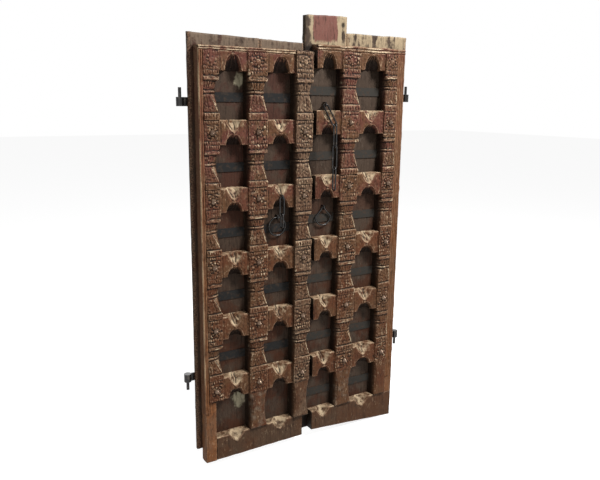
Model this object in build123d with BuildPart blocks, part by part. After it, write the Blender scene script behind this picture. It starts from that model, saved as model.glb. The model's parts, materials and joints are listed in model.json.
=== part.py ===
from build123d import *
from math import cos, pi, radians, sin, tan
import os

# A double door of two carved leaves. X runs across the door, +Y to the rear, +Z up.
# The origin is under the middle of the whole door, level with the lowest corner of the right leaf.

# General fits
overrun = 6                  # how far every cut runs past the wood it leaves
housing_clearance = 0.4      # around tongues, bands, shanks and staple legs in their housings
pin_clearance = 0.05         # radial, hinge pin in its rolled eye
link_clearance = 1           # between two loops that hang in each other
seam_gap = 3                 # between the planks of the two leaves

# Depths, from the front of the carved grid to the rear
grid_depth = 50
plank_thickness = 22
batten_thickness = 28
band_thickness = 4
pilaster_proud = 8           # block faces of the pilasters in front of the rails
meeting_proud = 14           # the meeting pilaster stands further out
meeting_rebate = 0.5         # keeps the meeting pilaster just clear of the right leaf

# Left leaf, from the outer edge to the meeting edge
left_plank_margin = 24       # planks past the carved grid
left_edge_width = 20
left_half_pilaster_width = 72
left_outer_cell_width = 136
left_middle_pilaster_width = 96
left_inner_cell_width = 144
meeting_pilaster_width = 90
meeting_lap = 17             # meeting pilaster past the seam
left_inner_plank_width = 226

# Right leaf, from the meeting edge to the outer edge
rail_end_gap = 27            # open slot beside the meeting pilaster
right_inner_cell_width = 137
right_middle_pilaster_width = 105
right_outer_cell_width = 152
right_half_pilaster_width = 76
right_edge_width = 44
right_plank_margin = 48
right_inner_plank_width = 238

# Heights of the left leaf, from the floor line up
left_lift = 33
left_sill_height = 115
left_bay_pitch = 296
left_rail_height = 108
left_top_bay_height = 205
left_top_rail_height = 82
left_moulding_height = 18
left_foot_height = 245
left_foot_width = 57
left_plank_rise = 55         # plank ends above the foot of the grid
left_crest_outer = 52        # planks above the moulding at the outer edge
left_crest_inner = 38
left_sill_lap = 16           # bottom rail short of the seam, under the meeting pilaster

# Heights of the right leaf
right_sill_top = 145
right_bay_pitch = 305
right_rail_height = 112
right_top_bay_height = 191
right_top_rail_height = 80
right_moulding_height = 25
right_inner_foot = 45        # worn bottom edge at the meeting side; it falls to zero at the outer edge
right_foot_height = 235
right_plank_foot = 40
right_crest = 63             # planks above the moulding
block_rise = 67              # block of the inner plank above that
block_slope = 8
bay_count = 6

# Carving
waist_cut = 30               # how deep the waist of a pilaster is cut in from its side
half_waist_cut = 43
meeting_waist_cut = 22
shaft_relief = 7             # shaft behind the block face
pilaster_backing = 24        # straight part of a pilaster behind its carved waists
rosette_radius = 27
rosette_height = 4
scoop_shoulder = 26          # flat rail left each side of a scoop
upper_scoop_height = 54
lower_scoop_height = 46
top_scoop_height = 70
reed_rise = 4
left_reeds = 2
right_reeds = 4
bead_rise = 4
moulding_beads = 2
tongue_depth = 20
tongue_share = 0.55          # of the rail's height, where it runs behind the middle pilaster

# Shares of a bay's height with the share of the waist cut there, from the base band up to the capital
bay_cut_shares = ((0, 0), (0.14, 0), (0.14, 0.1), (0.3, 0.4), (0.44, 0.74), (0.54, 1), (0.6, 1),
                  (0.79, 0.5), (0.79, 0.12), (0.87, 0.04), (0.87, 0.16), (0.92, 0.16), (0.92, 0), (1, 0))
# The same heights with the share of the shaft relief; bands stand a little in front of the blocks
bay_relief_shares = ((0, 0), (0, -0.35), (0.14, -0.35), (0.14, 0.15), (0.3, 0.35), (0.54, 1), (0.6, 1),
                     (0.79, 0.6), (0.79, 0), (0.87, -0.35), (0.87, 0.25), (0.92, 0.25), (0.92, 0))
# The lowest bay is worn to a plain hourglass
worn_cut_shares = ((0, 0.1), (0.25, 0.5), (0.5, 0.66), (0.75, 0.5), (1, 0.1), (1, 0))
worn_relief_shares = ((0, 0), (0, 0.3), (0.5, 0.7), (1, 0.3), (1, 0))
# Outline of a bead or reed between its ends: share of its width, share of its rise
bead_shares = ((0.1, 0.6), (0.33, 1), (0.67, 1), (0.9, 0.6))
# Half outline of a scoop: share of its half width, share of its height from the edge of the rail
scoop_shares = ((1, 0), (0.94, 0.28), (0.76, 0.55), (0.4, 0.82), (0, 1))

# Iron
band_height = 40
band_end_margin = 26         # bands stop short of the outer edge of the grid
band_share = 0.47            # of the bay's height
boss_radius = 13
boss_height = 15
boss_facets = 8              # hammered flats of a boss
boss_rim = 2                 # straight edge under the flats
boss_flat = 9                # flats, measured in from the rim
shank_width = 6
shank_length = 20
hinge_strap_length = 290
hinge_strap_height = 38
hinge_strap_thickness = 6
hinge_point_length = 40
hinge_offset = 30            # pin axis past the edge of the planks
eye_radius = 16.5
pin_radius = 8
pin_stub = 40                # free end of a pin, turned down for its socket in the doorway
stub_radius = 7
left_upper_hinge_drop = 230  # upper hinges below the top of the moulding
left_lower_hinge_height = 452
right_upper_hinge_drop = 233
right_lower_hinge_height = 440
batten_height = 80
batten_inset = 62
batten_drop = 25             # below the middle of the rail, clear of the hinge straps
batten_nail_radius = 9
batten_nail_height = 4
batten_nail_facets = 4
batten_nail_count = 4
batten_rails = (1, 3, 5)     # rails, counted from the sill, that have a batten behind them

# Rings, staples and chain
bar = 8                      # forged bar, eight-sided
bar_flat_share = 0.29        # corner taken off the square bar
loop_facets = 6              # flats hammered round half a loop
ring_radius = 48
ring_facets = 18
staple_bar = 6
staple_leg = 18
staple_bend_share = 0.6      # flat left inside the bend
ring_standoff = 14           # from the planks to the middle of the bar
chain_standoff = 10
ring_share = 0.75            # height of the ring staples in their bay
ring_bay = 3                 # bay of the rings, counted from the top, as is the rail of the left chain
left_chain_rail = 2
chain_rise = 28              # right chain staple above the ledge of the uppermost rail
long_link_length = 140
long_link_width = 34
link_length = 118
link_width = 30
left_link_length = 95
left_end_link_length = 75
chain_lean = 47              # degrees below level, long link laid over the ledge

# Places across the door
plank_edge_gap = seam_gap / 2
left_grid_width = (left_edge_width + left_half_pilaster_width + left_outer_cell_width
                   + left_middle_pilaster_width + left_inner_cell_width
                   + meeting_pilaster_width - meeting_lap)
right_grid_width = (meeting_lap + rail_end_gap + right_inner_cell_width + right_middle_pilaster_width
                    + right_outer_cell_width + right_half_pilaster_width + right_edge_width)
left_reach = left_grid_width + left_plank_margin + hinge_offset + eye_radius
right_reach = right_grid_width + right_plank_margin + hinge_offset + eye_radius
seam_x = (left_reach - right_reach) / 2

meeting_x1 = seam_x + meeting_lap
meeting_x0 = meeting_x1 - meeting_pilaster_width
left_middle_x1 = meeting_x0 - left_inner_cell_width
left_middle_x0 = left_middle_x1 - left_middle_pilaster_width
left_half_x1 = left_middle_x0 - left_outer_cell_width
left_half_x0 = left_half_x1 - left_half_pilaster_width
left_edge_x0 = left_half_x0 - left_edge_width
left_foot_x1 = left_edge_x0 + left_foot_width
left_plank_x0 = left_edge_x0 - left_plank_margin
left_plank_x1 = seam_x - plank_edge_gap
left_joint_x = left_plank_x1 - left_inner_plank_width

right_rail_x0 = meeting_x1 + rail_end_gap
right_middle_x0 = right_rail_x0 + right_inner_cell_width
right_middle_x1 = right_middle_x0 + right_middle_pilaster_width
right_half_x0 = right_middle_x1 + right_outer_cell_width
right_half_x1 = right_half_x0 + right_half_pilaster_width
right_edge_x1 = right_half_x1 + right_edge_width
right_plank_x0 = seam_x + plank_edge_gap
right_plank_x1 = right_edge_x1 + right_plank_margin
right_joint_x = right_plank_x0 + right_inner_plank_width

left_cells = ((left_half_x1, left_middle_x0), (left_middle_x1, meeting_x0))
right_cells = ((right_rail_x0, right_middle_x0), (right_middle_x1, right_half_x0))
left_cell_mid = (left_middle_x1 + meeting_x0) / 2
right_cell_mid = (right_rail_x0 + right_middle_x0) / 2
left_pin_x = left_plank_x0 - hinge_offset
right_pin_x = right_plank_x1 + hinge_offset

# Places in depth: the long link reaches furthest forward, the clenched nails furthest back
link_reach = bar / 2 / cos(pi / 8) + link_clearance + bar / 2
long_link_run = long_link_length - bar
chain_forward = long_link_run * cos(radians(chain_lean)) - (grid_depth - ring_standoff)
front_reach = chain_forward + link_width / 2 * cos(pi / 2 / loop_facets)
rear_reach = grid_depth + plank_thickness + batten_thickness + batten_nail_height
face_y = (front_reach - rear_reach) / 2
plank_y = face_y + grid_depth
rear_y = plank_y + plank_thickness
pin_y = rear_y + hinge_strap_thickness / 2
ring_y = plank_y - ring_standoff
left_chain_y = face_y - chain_standoff


# Heights
def ledges(sill_top, pitch):
    """Upper edges of the bottom rail and of the rails above it."""
    return [sill_top + pitch * step for step in range(bay_count)]


left_ledges = ledges(left_lift + left_sill_height, left_bay_pitch)
right_ledges = ledges(right_sill_top, right_bay_pitch)
left_lintel = left_ledges[-1] + left_top_bay_height
right_lintel = right_ledges[-1] + right_top_bay_height
left_cap = left_lintel + left_top_rail_height
right_cap = right_lintel + right_top_rail_height
left_top = left_cap + left_moulding_height
right_top = right_cap + right_moulding_height
left_upper_hinge_height = left_top - left_upper_hinge_drop
right_upper_hinge_height = right_top - right_upper_hinge_drop


def bays(ledge_heights, rail_height, lintel):
    """Lower and upper end of each open bay between two rails."""
    heads = [height - rail_height for height in ledge_heights[1:]] + [lintel]
    return list(zip(ledge_heights, heads))


left_bays = bays(left_ledges, left_rail_height, left_lintel)
right_bays = bays(right_ledges, right_rail_height, right_lintel)


def block_heights(ledge_heights, rail_height):
    """Middle of each rail, where the pilasters carry a rosette and a boss."""
    return [height - rail_height / 2 for height in ledge_heights[1:]]


left_blocks = block_heights(left_ledges, left_rail_height)
right_blocks = block_heights(right_ledges, right_rail_height)


def ring_height(bay_list):
    low, high = bay_list[-ring_bay]
    return low + ring_share * (high - low)


left_ring_height = ring_height(left_bays)
right_ring_height = ring_height(right_bays)
left_chain_height = left_blocks[-left_chain_rail]
right_chain_height = right_ledges[-1] + chain_rise


def right_foot(x):
    """Height of the right leaf's worn bottom edge at x."""
    return right_inner_foot * (right_edge_x1 - x) / (right_edge_x1 - right_rail_x0)


def save(piece, name):
    piece.part.label = name
    export_step(piece.part, "parts/" + name + ".step")


os.makedirs("parts", exist_ok=True)


# Planks
def plank(name, outline, leg_places):
    """A vertical board with square holes for the staple legs."""
    with BuildPart() as board:
        with BuildSketch(Plane.XZ.offset(-rear_y)):
            with BuildLine():
                Polyline(*outline, close=True)
            make_face()
        extrude(amount=plank_thickness)
        if leg_places:
            with BuildSketch(Plane.XZ.offset(-plank_y)):
                with Locations(*leg_places):
                    Rectangle(staple_bar + housing_clearance, staple_bar + housing_clearance)
            extrude(amount=-(staple_leg + housing_clearance), mode=Mode.SUBTRACT)
    save(board, name)


def leg_places(x, z):
    """Upper and lower leg of a staple whose bar is centred at x, z."""
    spread = link_reach - bar / 2 + staple_bar / 2
    return [(x, z - spread), (x, z + spread)]


left_crest_slope = (left_crest_outer - left_crest_inner) / (left_plank_x1 - left_plank_x0)
left_joint_crest = left_crest_outer - left_crest_slope * (left_joint_x - left_plank_x0)
left_plank_z0 = left_lift + left_plank_rise
right_plank_top = right_top + right_crest
block_top = right_plank_top + block_rise

plank("left_outer_plank", [(left_plank_x0, left_plank_z0), (left_joint_x, left_plank_z0),
                           (left_joint_x, left_top + left_joint_crest),
                           (left_plank_x0, left_top + left_crest_outer)], [])
plank("left_inner_plank", [(left_joint_x, left_plank_z0), (left_plank_x1, left_plank_z0),
                           (left_plank_x1, left_top + left_crest_inner),
                           (left_joint_x, left_top + left_joint_crest)],
      leg_places(left_cell_mid, left_ring_height))
plank("right_inner_plank", [(right_plank_x0, right_plank_foot), (right_joint_x, right_plank_foot),
                            (right_joint_x, block_top + block_slope), (right_plank_x0, block_top)],
      leg_places(right_cell_mid, right_ring_height) + leg_places(right_cell_mid, right_chain_height))
plank("right_outer_plank", [(right_joint_x, right_plank_foot), (right_plank_x1, right_foot(right_edge_x1)
                            + right_plank_foot / 2), (right_plank_x1, right_plank_top),
                            (right_joint_x, right_plank_top)], [])


# Pilasters
def side_line(bay_list, foot, head):
    """Points (share of the cut, height) up one side of a pilaster; the first bay of a leaf is worn."""
    points = [(0, foot)] if foot < bay_list[0][0] else []
    for low, high in bay_list:
        shares = worn_cut_shares if low in (left_ledges[0], right_ledges[0]) else bay_cut_shares
        points += [(cut, low + share * (high - low)) for share, cut in shares]
    return points + [(0, head)]


def front_line(bay_list, foot, head):
    """Points (share of the relief, height) up the front of a pilaster."""
    points = [(0, foot - overrun)]
    for low, high in bay_list:
        shares = worn_relief_shares if low in (left_ledges[0], right_ledges[0]) else bay_relief_shares
        points += [(relief, low + share * (high - low)) for share, relief in shares]
    return points + [(0, head + overrun)]


def band_middles(bay_list):
    return [low + band_share * (high - low) for low, high in bay_list]


def pilaster(name, x0, x1, cuts, proud, bay_list, foot, head, blocks, tongue_height):
    """One balk carved to its front and side outlines over a straight backing, with rosettes and housings."""
    middle = (x0 + x1) / 2
    laps = x1 > seam_x > x0
    backing_x1 = left_plank_x1 if laps else x1
    block_y = face_y - proud
    left_cut, right_cut = cuts
    carved_side = side_line(bay_list, foot, head)
    plain_side = [(0, foot), (0, head)]
    right_side = [(x1 - share * right_cut, z) for share, z in (carved_side if right_cut else plain_side)]
    left_side = [(x0 + share * left_cut, z) for share, z in (carved_side if left_cut else plain_side)]
    front = [(block_y + share * shaft_relief, z) for share, z in front_line(bay_list, foot, head)]
    back = [(plank_y + overrun, head + overrun), (plank_y + overrun, foot - overrun)]
    lintel_block = (bay_list[-1][1] + head) / 2
    with BuildPart() as post:
        with BuildSketch(Plane.XZ.offset(-plank_y)):
            with BuildLine():
                Polyline(*left_side, *reversed(right_side), close=True)
            make_face()
        extrude(amount=grid_depth + proud + shaft_relief)
        with BuildSketch(Plane.YZ.offset(x0 - overrun)):
            with BuildLine():
                Polyline(*front, *back, close=True)
            make_face()
        extrude(amount=x1 - x0 + 2 * overrun, mode=Mode.INTERSECT)
        with BuildSketch(Plane.XZ.offset(-plank_y)):
            with Locations(((x0 + backing_x1) / 2, (foot + head) / 2)):
                Rectangle(backing_x1 - x0, head - foot)
        extrude(amount=pilaster_backing)
        with BuildSketch(Plane.XZ.offset(-block_y)):
            with Locations(*[(middle, z) for z in [*blocks, lintel_block]]):
                RegularPolygon(rosette_radius, 4)
                RegularPolygon(rosette_radius, 4, rotation=45)
        extrude(amount=rosette_height)
        with BuildSketch(Plane.XZ.offset(rosette_height - block_y)):
            with Locations(*[(middle, z) for z in blocks]):
                Rectangle(shank_width + housing_clearance, shank_width + housing_clearance)
        extrude(amount=-(shank_length + housing_clearance), mode=Mode.SUBTRACT)
        with BuildSketch(Plane.XZ.offset(-plank_y)):
            with Locations(*[(middle, z) for z in band_middles(bay_list)]):
                Rectangle(x1 - x0 + 2 * overrun, band_height + 2 * housing_clearance)
        extrude(amount=band_thickness + housing_clearance, mode=Mode.SUBTRACT)
        if tongue_height:
            with BuildSketch(Plane.XZ.offset(-plank_y)):
                with Locations(*[(middle, z) for z in blocks]):
                    Rectangle(x1 - x0 + 2 * overrun, tongue_height + 2 * housing_clearance)
            extrude(amount=tongue_depth + housing_clearance, mode=Mode.SUBTRACT)
        if laps:
            with BuildSketch(Plane.XZ.offset(-plank_y)):
                with Locations(((left_plank_x1 + x1 + overrun) / 2, (foot + head) / 2)):
                    Rectangle(x1 + overrun - left_plank_x1, head - foot + 2 * overrun)
            extrude(amount=meeting_rebate, mode=Mode.SUBTRACT)
    save(post, name)


left_tongue = left_rail_height * tongue_share
right_tongue = right_rail_height * tongue_share
pilaster("left_half_pilaster", left_half_x0, left_half_x1, (0, half_waist_cut), pilaster_proud,
         left_bays[1:], left_bays[0][1], left_cap, left_blocks, 0)
pilaster("left_middle_pilaster", left_middle_x0, left_middle_x1, (waist_cut, waist_cut), pilaster_proud,
         left_bays, left_ledges[0], left_cap, left_blocks, left_tongue)
pilaster("left_meeting_pilaster", meeting_x0, meeting_x1, (meeting_waist_cut, meeting_waist_cut),
         meeting_proud, left_bays, left_ledges[0], left_top, left_blocks, 0)
pilaster("right_middle_pilaster", right_middle_x0, right_middle_x1, (waist_cut, waist_cut), pilaster_proud,
         right_bays, right_ledges[0], right_cap, right_blocks, right_tongue)
pilaster("right_half_pilaster", right_half_x0, right_half_x1, (waist_cut, 0), pilaster_proud,
         right_bays, right_ledges[0], right_cap, right_blocks, 0)


# Rails
def scoop_outline(middle, half_width, edge, depth):
    """Pointed outline cut into the edge of a rail; a positive depth points down from an upper edge."""
    lip = overrun if depth > 0 else -overrun
    right = [(middle + share * half_width, edge - along * depth) for share, along in scoop_shares]
    left = [(middle - share * half_width, edge - along * depth) for share, along in scoop_shares[:-1]]
    return [(middle - half_width, edge + lip), (middle + half_width, edge + lip), *right, *reversed(left)]


def cut_scoops(cells, edge, depth):
    """Faces on the front plane for the scoops over or under each cell."""
    with BuildSketch(Plane.XZ.offset(-face_y)) as sketch:
        for x0, x1 in cells:
            half_width = (x1 - x0) / 2 - scoop_shoulder
            with BuildLine():
                Polyline(*scoop_outline((x0 + x1) / 2, half_width, edge, depth), close=True)
            make_face()
    return sketch.sketch


def scoop_way(depth):
    """Direction of a scoop, from its tip on the front face to the rear edge of the rail."""
    return (0, grid_depth, depth)


scoop_run = 2 * grid_depth + upper_scoop_height + lower_scoop_height


def rail(name, cells, z0, z1, tongue_height, staple_places):
    """Two blocks joined by a tongue behind the middle pilaster, scooped above and below each cell."""
    upper = cut_scoops(cells, z1, upper_scoop_height)
    lower = cut_scoops(cells, z0, -lower_scoop_height)
    (outer_x0, outer_x1), (inner_x0, inner_x1) = cells
    with BuildPart() as beam:
        with BuildSketch(Plane.XZ.offset(-plank_y)):
            for x0, x1 in cells:
                with Locations(((x0 + x1) / 2, (z0 + z1) / 2)):
                    Rectangle(x1 - x0, z1 - z0)
        extrude(amount=grid_depth)
        with BuildSketch(Plane.XZ.offset(-plank_y)):
            with Locations(((outer_x0 + inner_x1) / 2, (z0 + z1) / 2)):
                Rectangle(inner_x1 - outer_x0, tongue_height)
        extrude(amount=tongue_depth)
        extrude(upper, amount=scoop_run, dir=scoop_way(upper_scoop_height), mode=Mode.SUBTRACT)
        extrude(lower, amount=scoop_run, dir=scoop_way(-lower_scoop_height), mode=Mode.SUBTRACT)
        if staple_places:
            with BuildSketch(Plane.XZ.offset(-face_y)):
                with Locations(*staple_places):
                    Rectangle(staple_bar + housing_clearance, staple_bar + housing_clearance)
            extrude(amount=-(staple_leg + housing_clearance), mode=Mode.SUBTRACT)
    save(beam, name)


for step in range(1, bay_count):
    number = str(bay_count - step)
    chain_legs = leg_places(left_cell_mid, left_chain_height) if step == bay_count - left_chain_rail else []
    rail("left_rail_" + number, left_cells, left_ledges[step] - left_rail_height, left_ledges[step],
         left_tongue, chain_legs)
    rail("right_rail_" + number, right_cells, right_ledges[step] - right_rail_height, right_ledges[step],
         right_tongue, [])


def beads(start, width, count, rise):
    """Points (place along the row, height above the flat) of a row of beads or reeds."""
    points = [(start, 0)]
    for low in [start + width * step for step in range(count)]:
        points += [(low + along * width, up * rise) for along, up in bead_shares]
        points.append((low + width, 0))
    return points


def top_rail(name, cells, x0, x1, lintel, cap, top):
    """Blocks over the cells under one moulding with two beads along its front."""
    arches = cut_scoops(cells, lintel, -top_scoop_height)
    bead_height = (top - cap) / moulding_beads
    front = [(face_y - rise, z) for z, rise in beads(cap, bead_height, moulding_beads, bead_rise)]
    with BuildPart() as beam:
        with BuildSketch(Plane.XZ.offset(-plank_y)):
            for cell_x0, cell_x1 in cells:
                with Locations(((cell_x0 + cell_x1) / 2, (lintel + cap) / 2)):
                    Rectangle(cell_x1 - cell_x0, cap - lintel)
        extrude(amount=grid_depth)
        extrude(arches, amount=scoop_run, dir=scoop_way(-top_scoop_height), mode=Mode.SUBTRACT)
        with BuildSketch(Plane.YZ.offset(x0)):
            with BuildLine():
                Polyline(*front, (plank_y, top), (plank_y, cap), close=True)
            make_face()
        extrude(amount=x1 - x0)
    save(beam, name)


top_rail("left_top_rail", left_cells, left_edge_x0, meeting_x0, left_lintel, left_cap, left_top)
top_rail("right_top_rail", right_cells, right_rail_x0, right_edge_x1, right_lintel, right_cap, right_top)


def sill(name, outline, cells, ledge):
    """Plain bottom rail with scoops in its ledge."""
    scoops = cut_scoops(cells, ledge, upper_scoop_height)
    with BuildPart() as beam:
        with BuildSketch(Plane.XZ.offset(-plank_y)):
            with BuildLine():
                Polyline(*outline, close=True)
            make_face()
        extrude(amount=grid_depth)
        extrude(scoops, amount=scoop_run, dir=scoop_way(upper_scoop_height), mode=Mode.SUBTRACT)
    save(beam, name)


left_sill_x1 = seam_x - left_sill_lap
sill("left_bottom_rail", [(left_foot_x1, left_lift), (left_sill_x1, left_lift),
                          (left_sill_x1, left_ledges[0]), (left_foot_x1, left_ledges[0])],
     ((left_foot_x1, left_middle_x0), left_cells[1]), left_ledges[0])
sill("right_bottom_rail", [(right_rail_x0, right_foot(right_rail_x0)),
                           (right_edge_x1, right_foot(right_edge_x1)),
                           (right_edge_x1, right_ledges[0]), (right_rail_x0, right_ledges[0])],
     right_cells, right_ledges[0])


# Edge stiles
def edge_stile(name, x0, x1, reeds, z0, z1, foot_outline):
    """Reeded strip along the outer edge on a plain foot."""
    front = [(x, face_y - rise) for x, rise in beads(x0, (x1 - x0) / reeds, reeds, reed_rise)]
    with BuildPart() as stile:
        with BuildSketch(Plane.XY.offset(z0)):
            with BuildLine():
                Polyline(*front, (x1, plank_y), (x0, plank_y), close=True)
            make_face()
        extrude(amount=z1 - z0)
        with BuildSketch(Plane.XZ.offset(-plank_y)):
            with BuildLine():
                Polyline(*foot_outline, close=True)
            make_face()
        extrude(amount=grid_depth)
    save(stile, name)


left_foot_top = left_lift + left_foot_height
edge_stile("left_edge_stile", left_edge_x0, left_half_x0, left_reeds, left_foot_top, left_cap,
           [(left_edge_x0, left_lift), (left_foot_x1, left_lift), (left_foot_x1, left_bays[0][1]),
            (left_half_x0, left_bays[0][1]), (left_half_x0, left_foot_top), (left_edge_x0, left_foot_top)])
edge_stile("right_edge_stile", right_half_x1, right_edge_x1, right_reeds, right_foot_height, right_cap,
           [(right_half_x1, right_ledges[0]), (right_edge_x1, right_ledges[0]),
            (right_edge_x1, right_foot_height), (right_half_x1, right_foot_height)])


# Iron bands across the cells
def bands(name, x0, x1, bay_list):
    with BuildPart() as iron:
        with BuildSketch(Plane.XZ.offset(-plank_y)):
            with Locations(*[((x0 + x1) / 2, z) for z in band_middles(bay_list)]):
                Rectangle(x1 - x0, band_height)
        extrude(amount=band_thickness)
    save(iron, name)


bands("left_iron_bands", left_half_x0 + band_end_margin, left_plank_x1 - plank_edge_gap, left_bays[1:])
bands("right_iron_bands", right_rail_x0 - rail_end_gap / 2, right_half_x1 - band_end_margin, right_bays)


# Boss nails: a cone on each rosette with a square shank in the wood
def boss_nails(name, places):
    """Places are (middle x, face of the rosette, heights)."""
    with BuildPart() as nails:
        for x, y, heights in places:
            for z in heights:
                with BuildSketch(Plane.XZ.offset(-y)):
                    with Locations((x, z)):
                        RegularPolygon(boss_radius, boss_facets)
                extrude(amount=boss_height)
                tip = nails.faces(Select.LAST).sort_by(Axis.Y)[0]
                chamfer(tip.edges(), boss_flat, boss_height - boss_rim, reference=tip)
                with BuildSketch(Plane.XZ.offset(-y)):
                    with Locations((x, z)):
                        Rectangle(shank_width, shank_width)
                extrude(amount=-shank_length)
    save(nails, name)


rosette_y = face_y - pilaster_proud - rosette_height
meeting_rosette_y = face_y - meeting_proud - rosette_height
boss_nails("left_boss_nails", [((left_half_x0 + left_half_x1) / 2, rosette_y, left_blocks),
                               ((left_middle_x0 + left_middle_x1) / 2, rosette_y, left_blocks),
                               ((meeting_x0 + meeting_x1) / 2, meeting_rosette_y, left_blocks)])
boss_nails("right_boss_nails", [((right_middle_x0 + right_middle_x1) / 2, rosette_y, right_blocks),
                                ((right_half_x0 + right_half_x1) / 2, rosette_y, right_blocks)])


# Rear battens and their clenched nails
def battens(side, x0, x1, blocks):
    length = x1 - x0 - 2 * batten_inset
    middle = (x0 + x1) / 2
    for count, block in enumerate(batten_rails):
        with BuildPart() as batten:
            with BuildSketch(Plane.XZ.offset(-rear_y - batten_thickness)):
                with Locations((middle, blocks[block - 1] - batten_drop)):
                    Rectangle(length, batten_height)
            extrude(amount=batten_thickness)
            chamfer(batten.faces().sort_by(Axis.Y)[-1].edges(), batten_thickness / 4)
        save(batten, side + "_batten_" + str(len(batten_rails) - count))
    with BuildPart() as nails:
        with BuildSketch(Plane.XZ.offset(-rear_y - batten_thickness - batten_nail_height)):
            for block in batten_rails:
                with Locations((middle, blocks[block - 1] - batten_drop)):
                    with GridLocations(length / batten_nail_count, batten_height / 2, batten_nail_count, 2):
                        RegularPolygon(batten_nail_radius, batten_nail_facets)
        extrude(amount=batten_nail_height)
    save(nails, side + "_batten_nails")


battens("left", left_plank_x0, left_plank_x1, left_blocks)
battens("right", right_plank_x0, right_plank_x1, right_blocks)


# Strap hinges at the rear, with a rolled eye past the edge of the planks, and their pins
def hinge(side, level, pin_x, inward, height):
    """inward is +1 where the strap runs towards +X and -1 where it runs towards -X."""
    z0 = height - hinge_strap_height / 2
    y0, y1 = rear_y, rear_y + hinge_strap_thickness
    tip = pin_x + inward * (hinge_offset + hinge_strap_length)
    shoulder = tip - inward * hinge_point_length
    with BuildPart() as strap:
        with BuildSketch(Plane.XY.offset(z0)):
            with BuildLine():
                Polyline((pin_x, y0), (tip, y0), (tip, y1), (pin_x, y1), close=True)
            make_face()
            with Locations((pin_x, pin_y)):
                Circle(eye_radius)
                Circle(pin_radius + pin_clearance, mode=Mode.SUBTRACT)
        extrude(amount=hinge_strap_height)
        with BuildSketch(Plane.XZ.offset(-y1 - overrun)):
            for end in (z0, z0 + hinge_strap_height):
                with BuildLine():
                    Polyline((shoulder, end), (tip + inward * overrun, end),
                             (tip + inward * overrun, height), (tip, height), close=True)
                make_face()
        extrude(amount=hinge_strap_thickness + 2 * overrun, mode=Mode.SUBTRACT)
    save(strap, side + "_" + level + "_hinge")
    stub_z0 = z0 + hinge_strap_height if level == "upper" else z0 - pin_stub
    with BuildPart() as pin:
        with BuildSketch(Plane.XY.offset(z0)):
            with Locations((pin_x, pin_y)):
                Circle(pin_radius)
        extrude(amount=hinge_strap_height)
        with BuildSketch(Plane.XY.offset(stub_z0)):
            with Locations((pin_x, pin_y)):
                Circle(stub_radius)
        extrude(amount=pin_stub)
    save(pin, side + "_" + level + "_pin")


hinge("left", "upper", left_pin_x, 1, left_upper_hinge_height)
hinge("left", "lower", left_pin_x, 1, left_lower_hinge_height)
hinge("right", "upper", right_pin_x, -1, right_upper_hinge_height)
hinge("right", "lower", right_pin_x, -1, right_lower_hinge_height)


# Staples: a flat bar bent round the bar that hangs in it, its two legs in the wood
def staple(name, x, z, seat_y, standoff):
    inner = link_reach - bar / 2
    outer = inner + staple_bar
    bend = inner * staple_bend_share
    nose = seat_y - standoff
    tip = seat_y + staple_leg
    with BuildPart() as bent:
        with BuildSketch(Plane.YZ.offset(x - staple_bar / 2)):
            with BuildLine():
                Polyline((tip, z - outer), (nose - inner, z - outer), (nose - outer, z - inner),
                         (nose - outer, z + inner), (nose - inner, z + outer), (tip, z + outer),
                         (tip, z + inner), (nose - bend, z + inner), (nose - inner, z + bend),
                         (nose - inner, z - bend), (nose - bend, z - inner), (tip, z - inner),
                         close=True)
            make_face()
        extrude(amount=staple_bar)
    save(bent, name)


staple("left_ring_staple", left_cell_mid, left_ring_height, plank_y, ring_standoff)
staple("right_ring_staple", right_cell_mid, right_ring_height, plank_y, ring_standoff)
staple("left_chain_staple", left_cell_mid, left_chain_height, face_y, chain_standoff)
staple("right_chain_staple", right_cell_mid, right_chain_height, plank_y, ring_standoff)


# Forged loops: rings and chain links of eight-sided bar
def half_round(radius, centre, start, facets):
    """Points of half a faceted circle about (0, centre), from the angle start."""
    angles = [start + pi * (step + 0.5) / facets for step in range(facets)]
    return [(radius * cos(angle), centre + radius * sin(angle)) for angle in angles]


def loop_outline(width, length, facets):
    """A long faceted loop whose upper bar is centred at the sketch's origin and which hangs down."""
    high = bar / 2 - width / 2
    low = high - (length - width)
    return half_round(width / 2, high, 0, facets) + half_round(width / 2, low, pi, facets)


def forged_loop(name, plane, width, length, facets):
    inner_width = width - 2 * bar
    inner_length = length - 2 * bar
    inner = [(x, y - bar) for x, y in loop_outline(inner_width, inner_length, facets)]
    with BuildPart() as loop:
        with BuildSketch(plane.offset(-bar / 2)):
            with BuildLine():
                Polyline(*loop_outline(width, length, facets), close=True)
            make_face()
            with BuildLine():
                Polyline(*inner, close=True)
            make_face(mode=Mode.SUBTRACT)
        extrude(amount=bar)
        flats = loop.faces().filter_by(lambda face: abs(face.normal_at().dot(plane.z_dir)) > 1 / 2)
        chamfer(flats.edges(), bar * bar_flat_share)
    save(loop, name)


def hanging(x, y, z, edge_on):
    """Plane of a loop that hangs plumb from x, y, z, flat to the door or edge on."""
    across = (0, 1, 0) if edge_on else (1, 0, 0)
    facing = (1, 0, 0) if edge_on else (0, -1, 0)
    return Plane(origin=(x, y, z), x_dir=across, z_dir=facing)


ring_size = 2 * ring_radius
forged_loop("left_pull_ring", hanging(left_cell_mid, ring_y, left_ring_height, False),
            ring_size, ring_size, ring_facets // 2)
forged_loop("right_pull_ring", hanging(right_cell_mid, ring_y, right_ring_height, False),
            ring_size, ring_size, ring_facets // 2)

left_end_height = left_chain_height - (left_link_length - bar - link_reach)
forged_loop("left_chain_link_1", hanging(left_cell_mid, left_chain_y, left_chain_height, False),
            link_width, left_link_length, loop_facets)
forged_loop("left_chain_link_2", hanging(left_cell_mid, left_chain_y, left_end_height, True),
            link_width, left_end_link_length, loop_facets)

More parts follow.
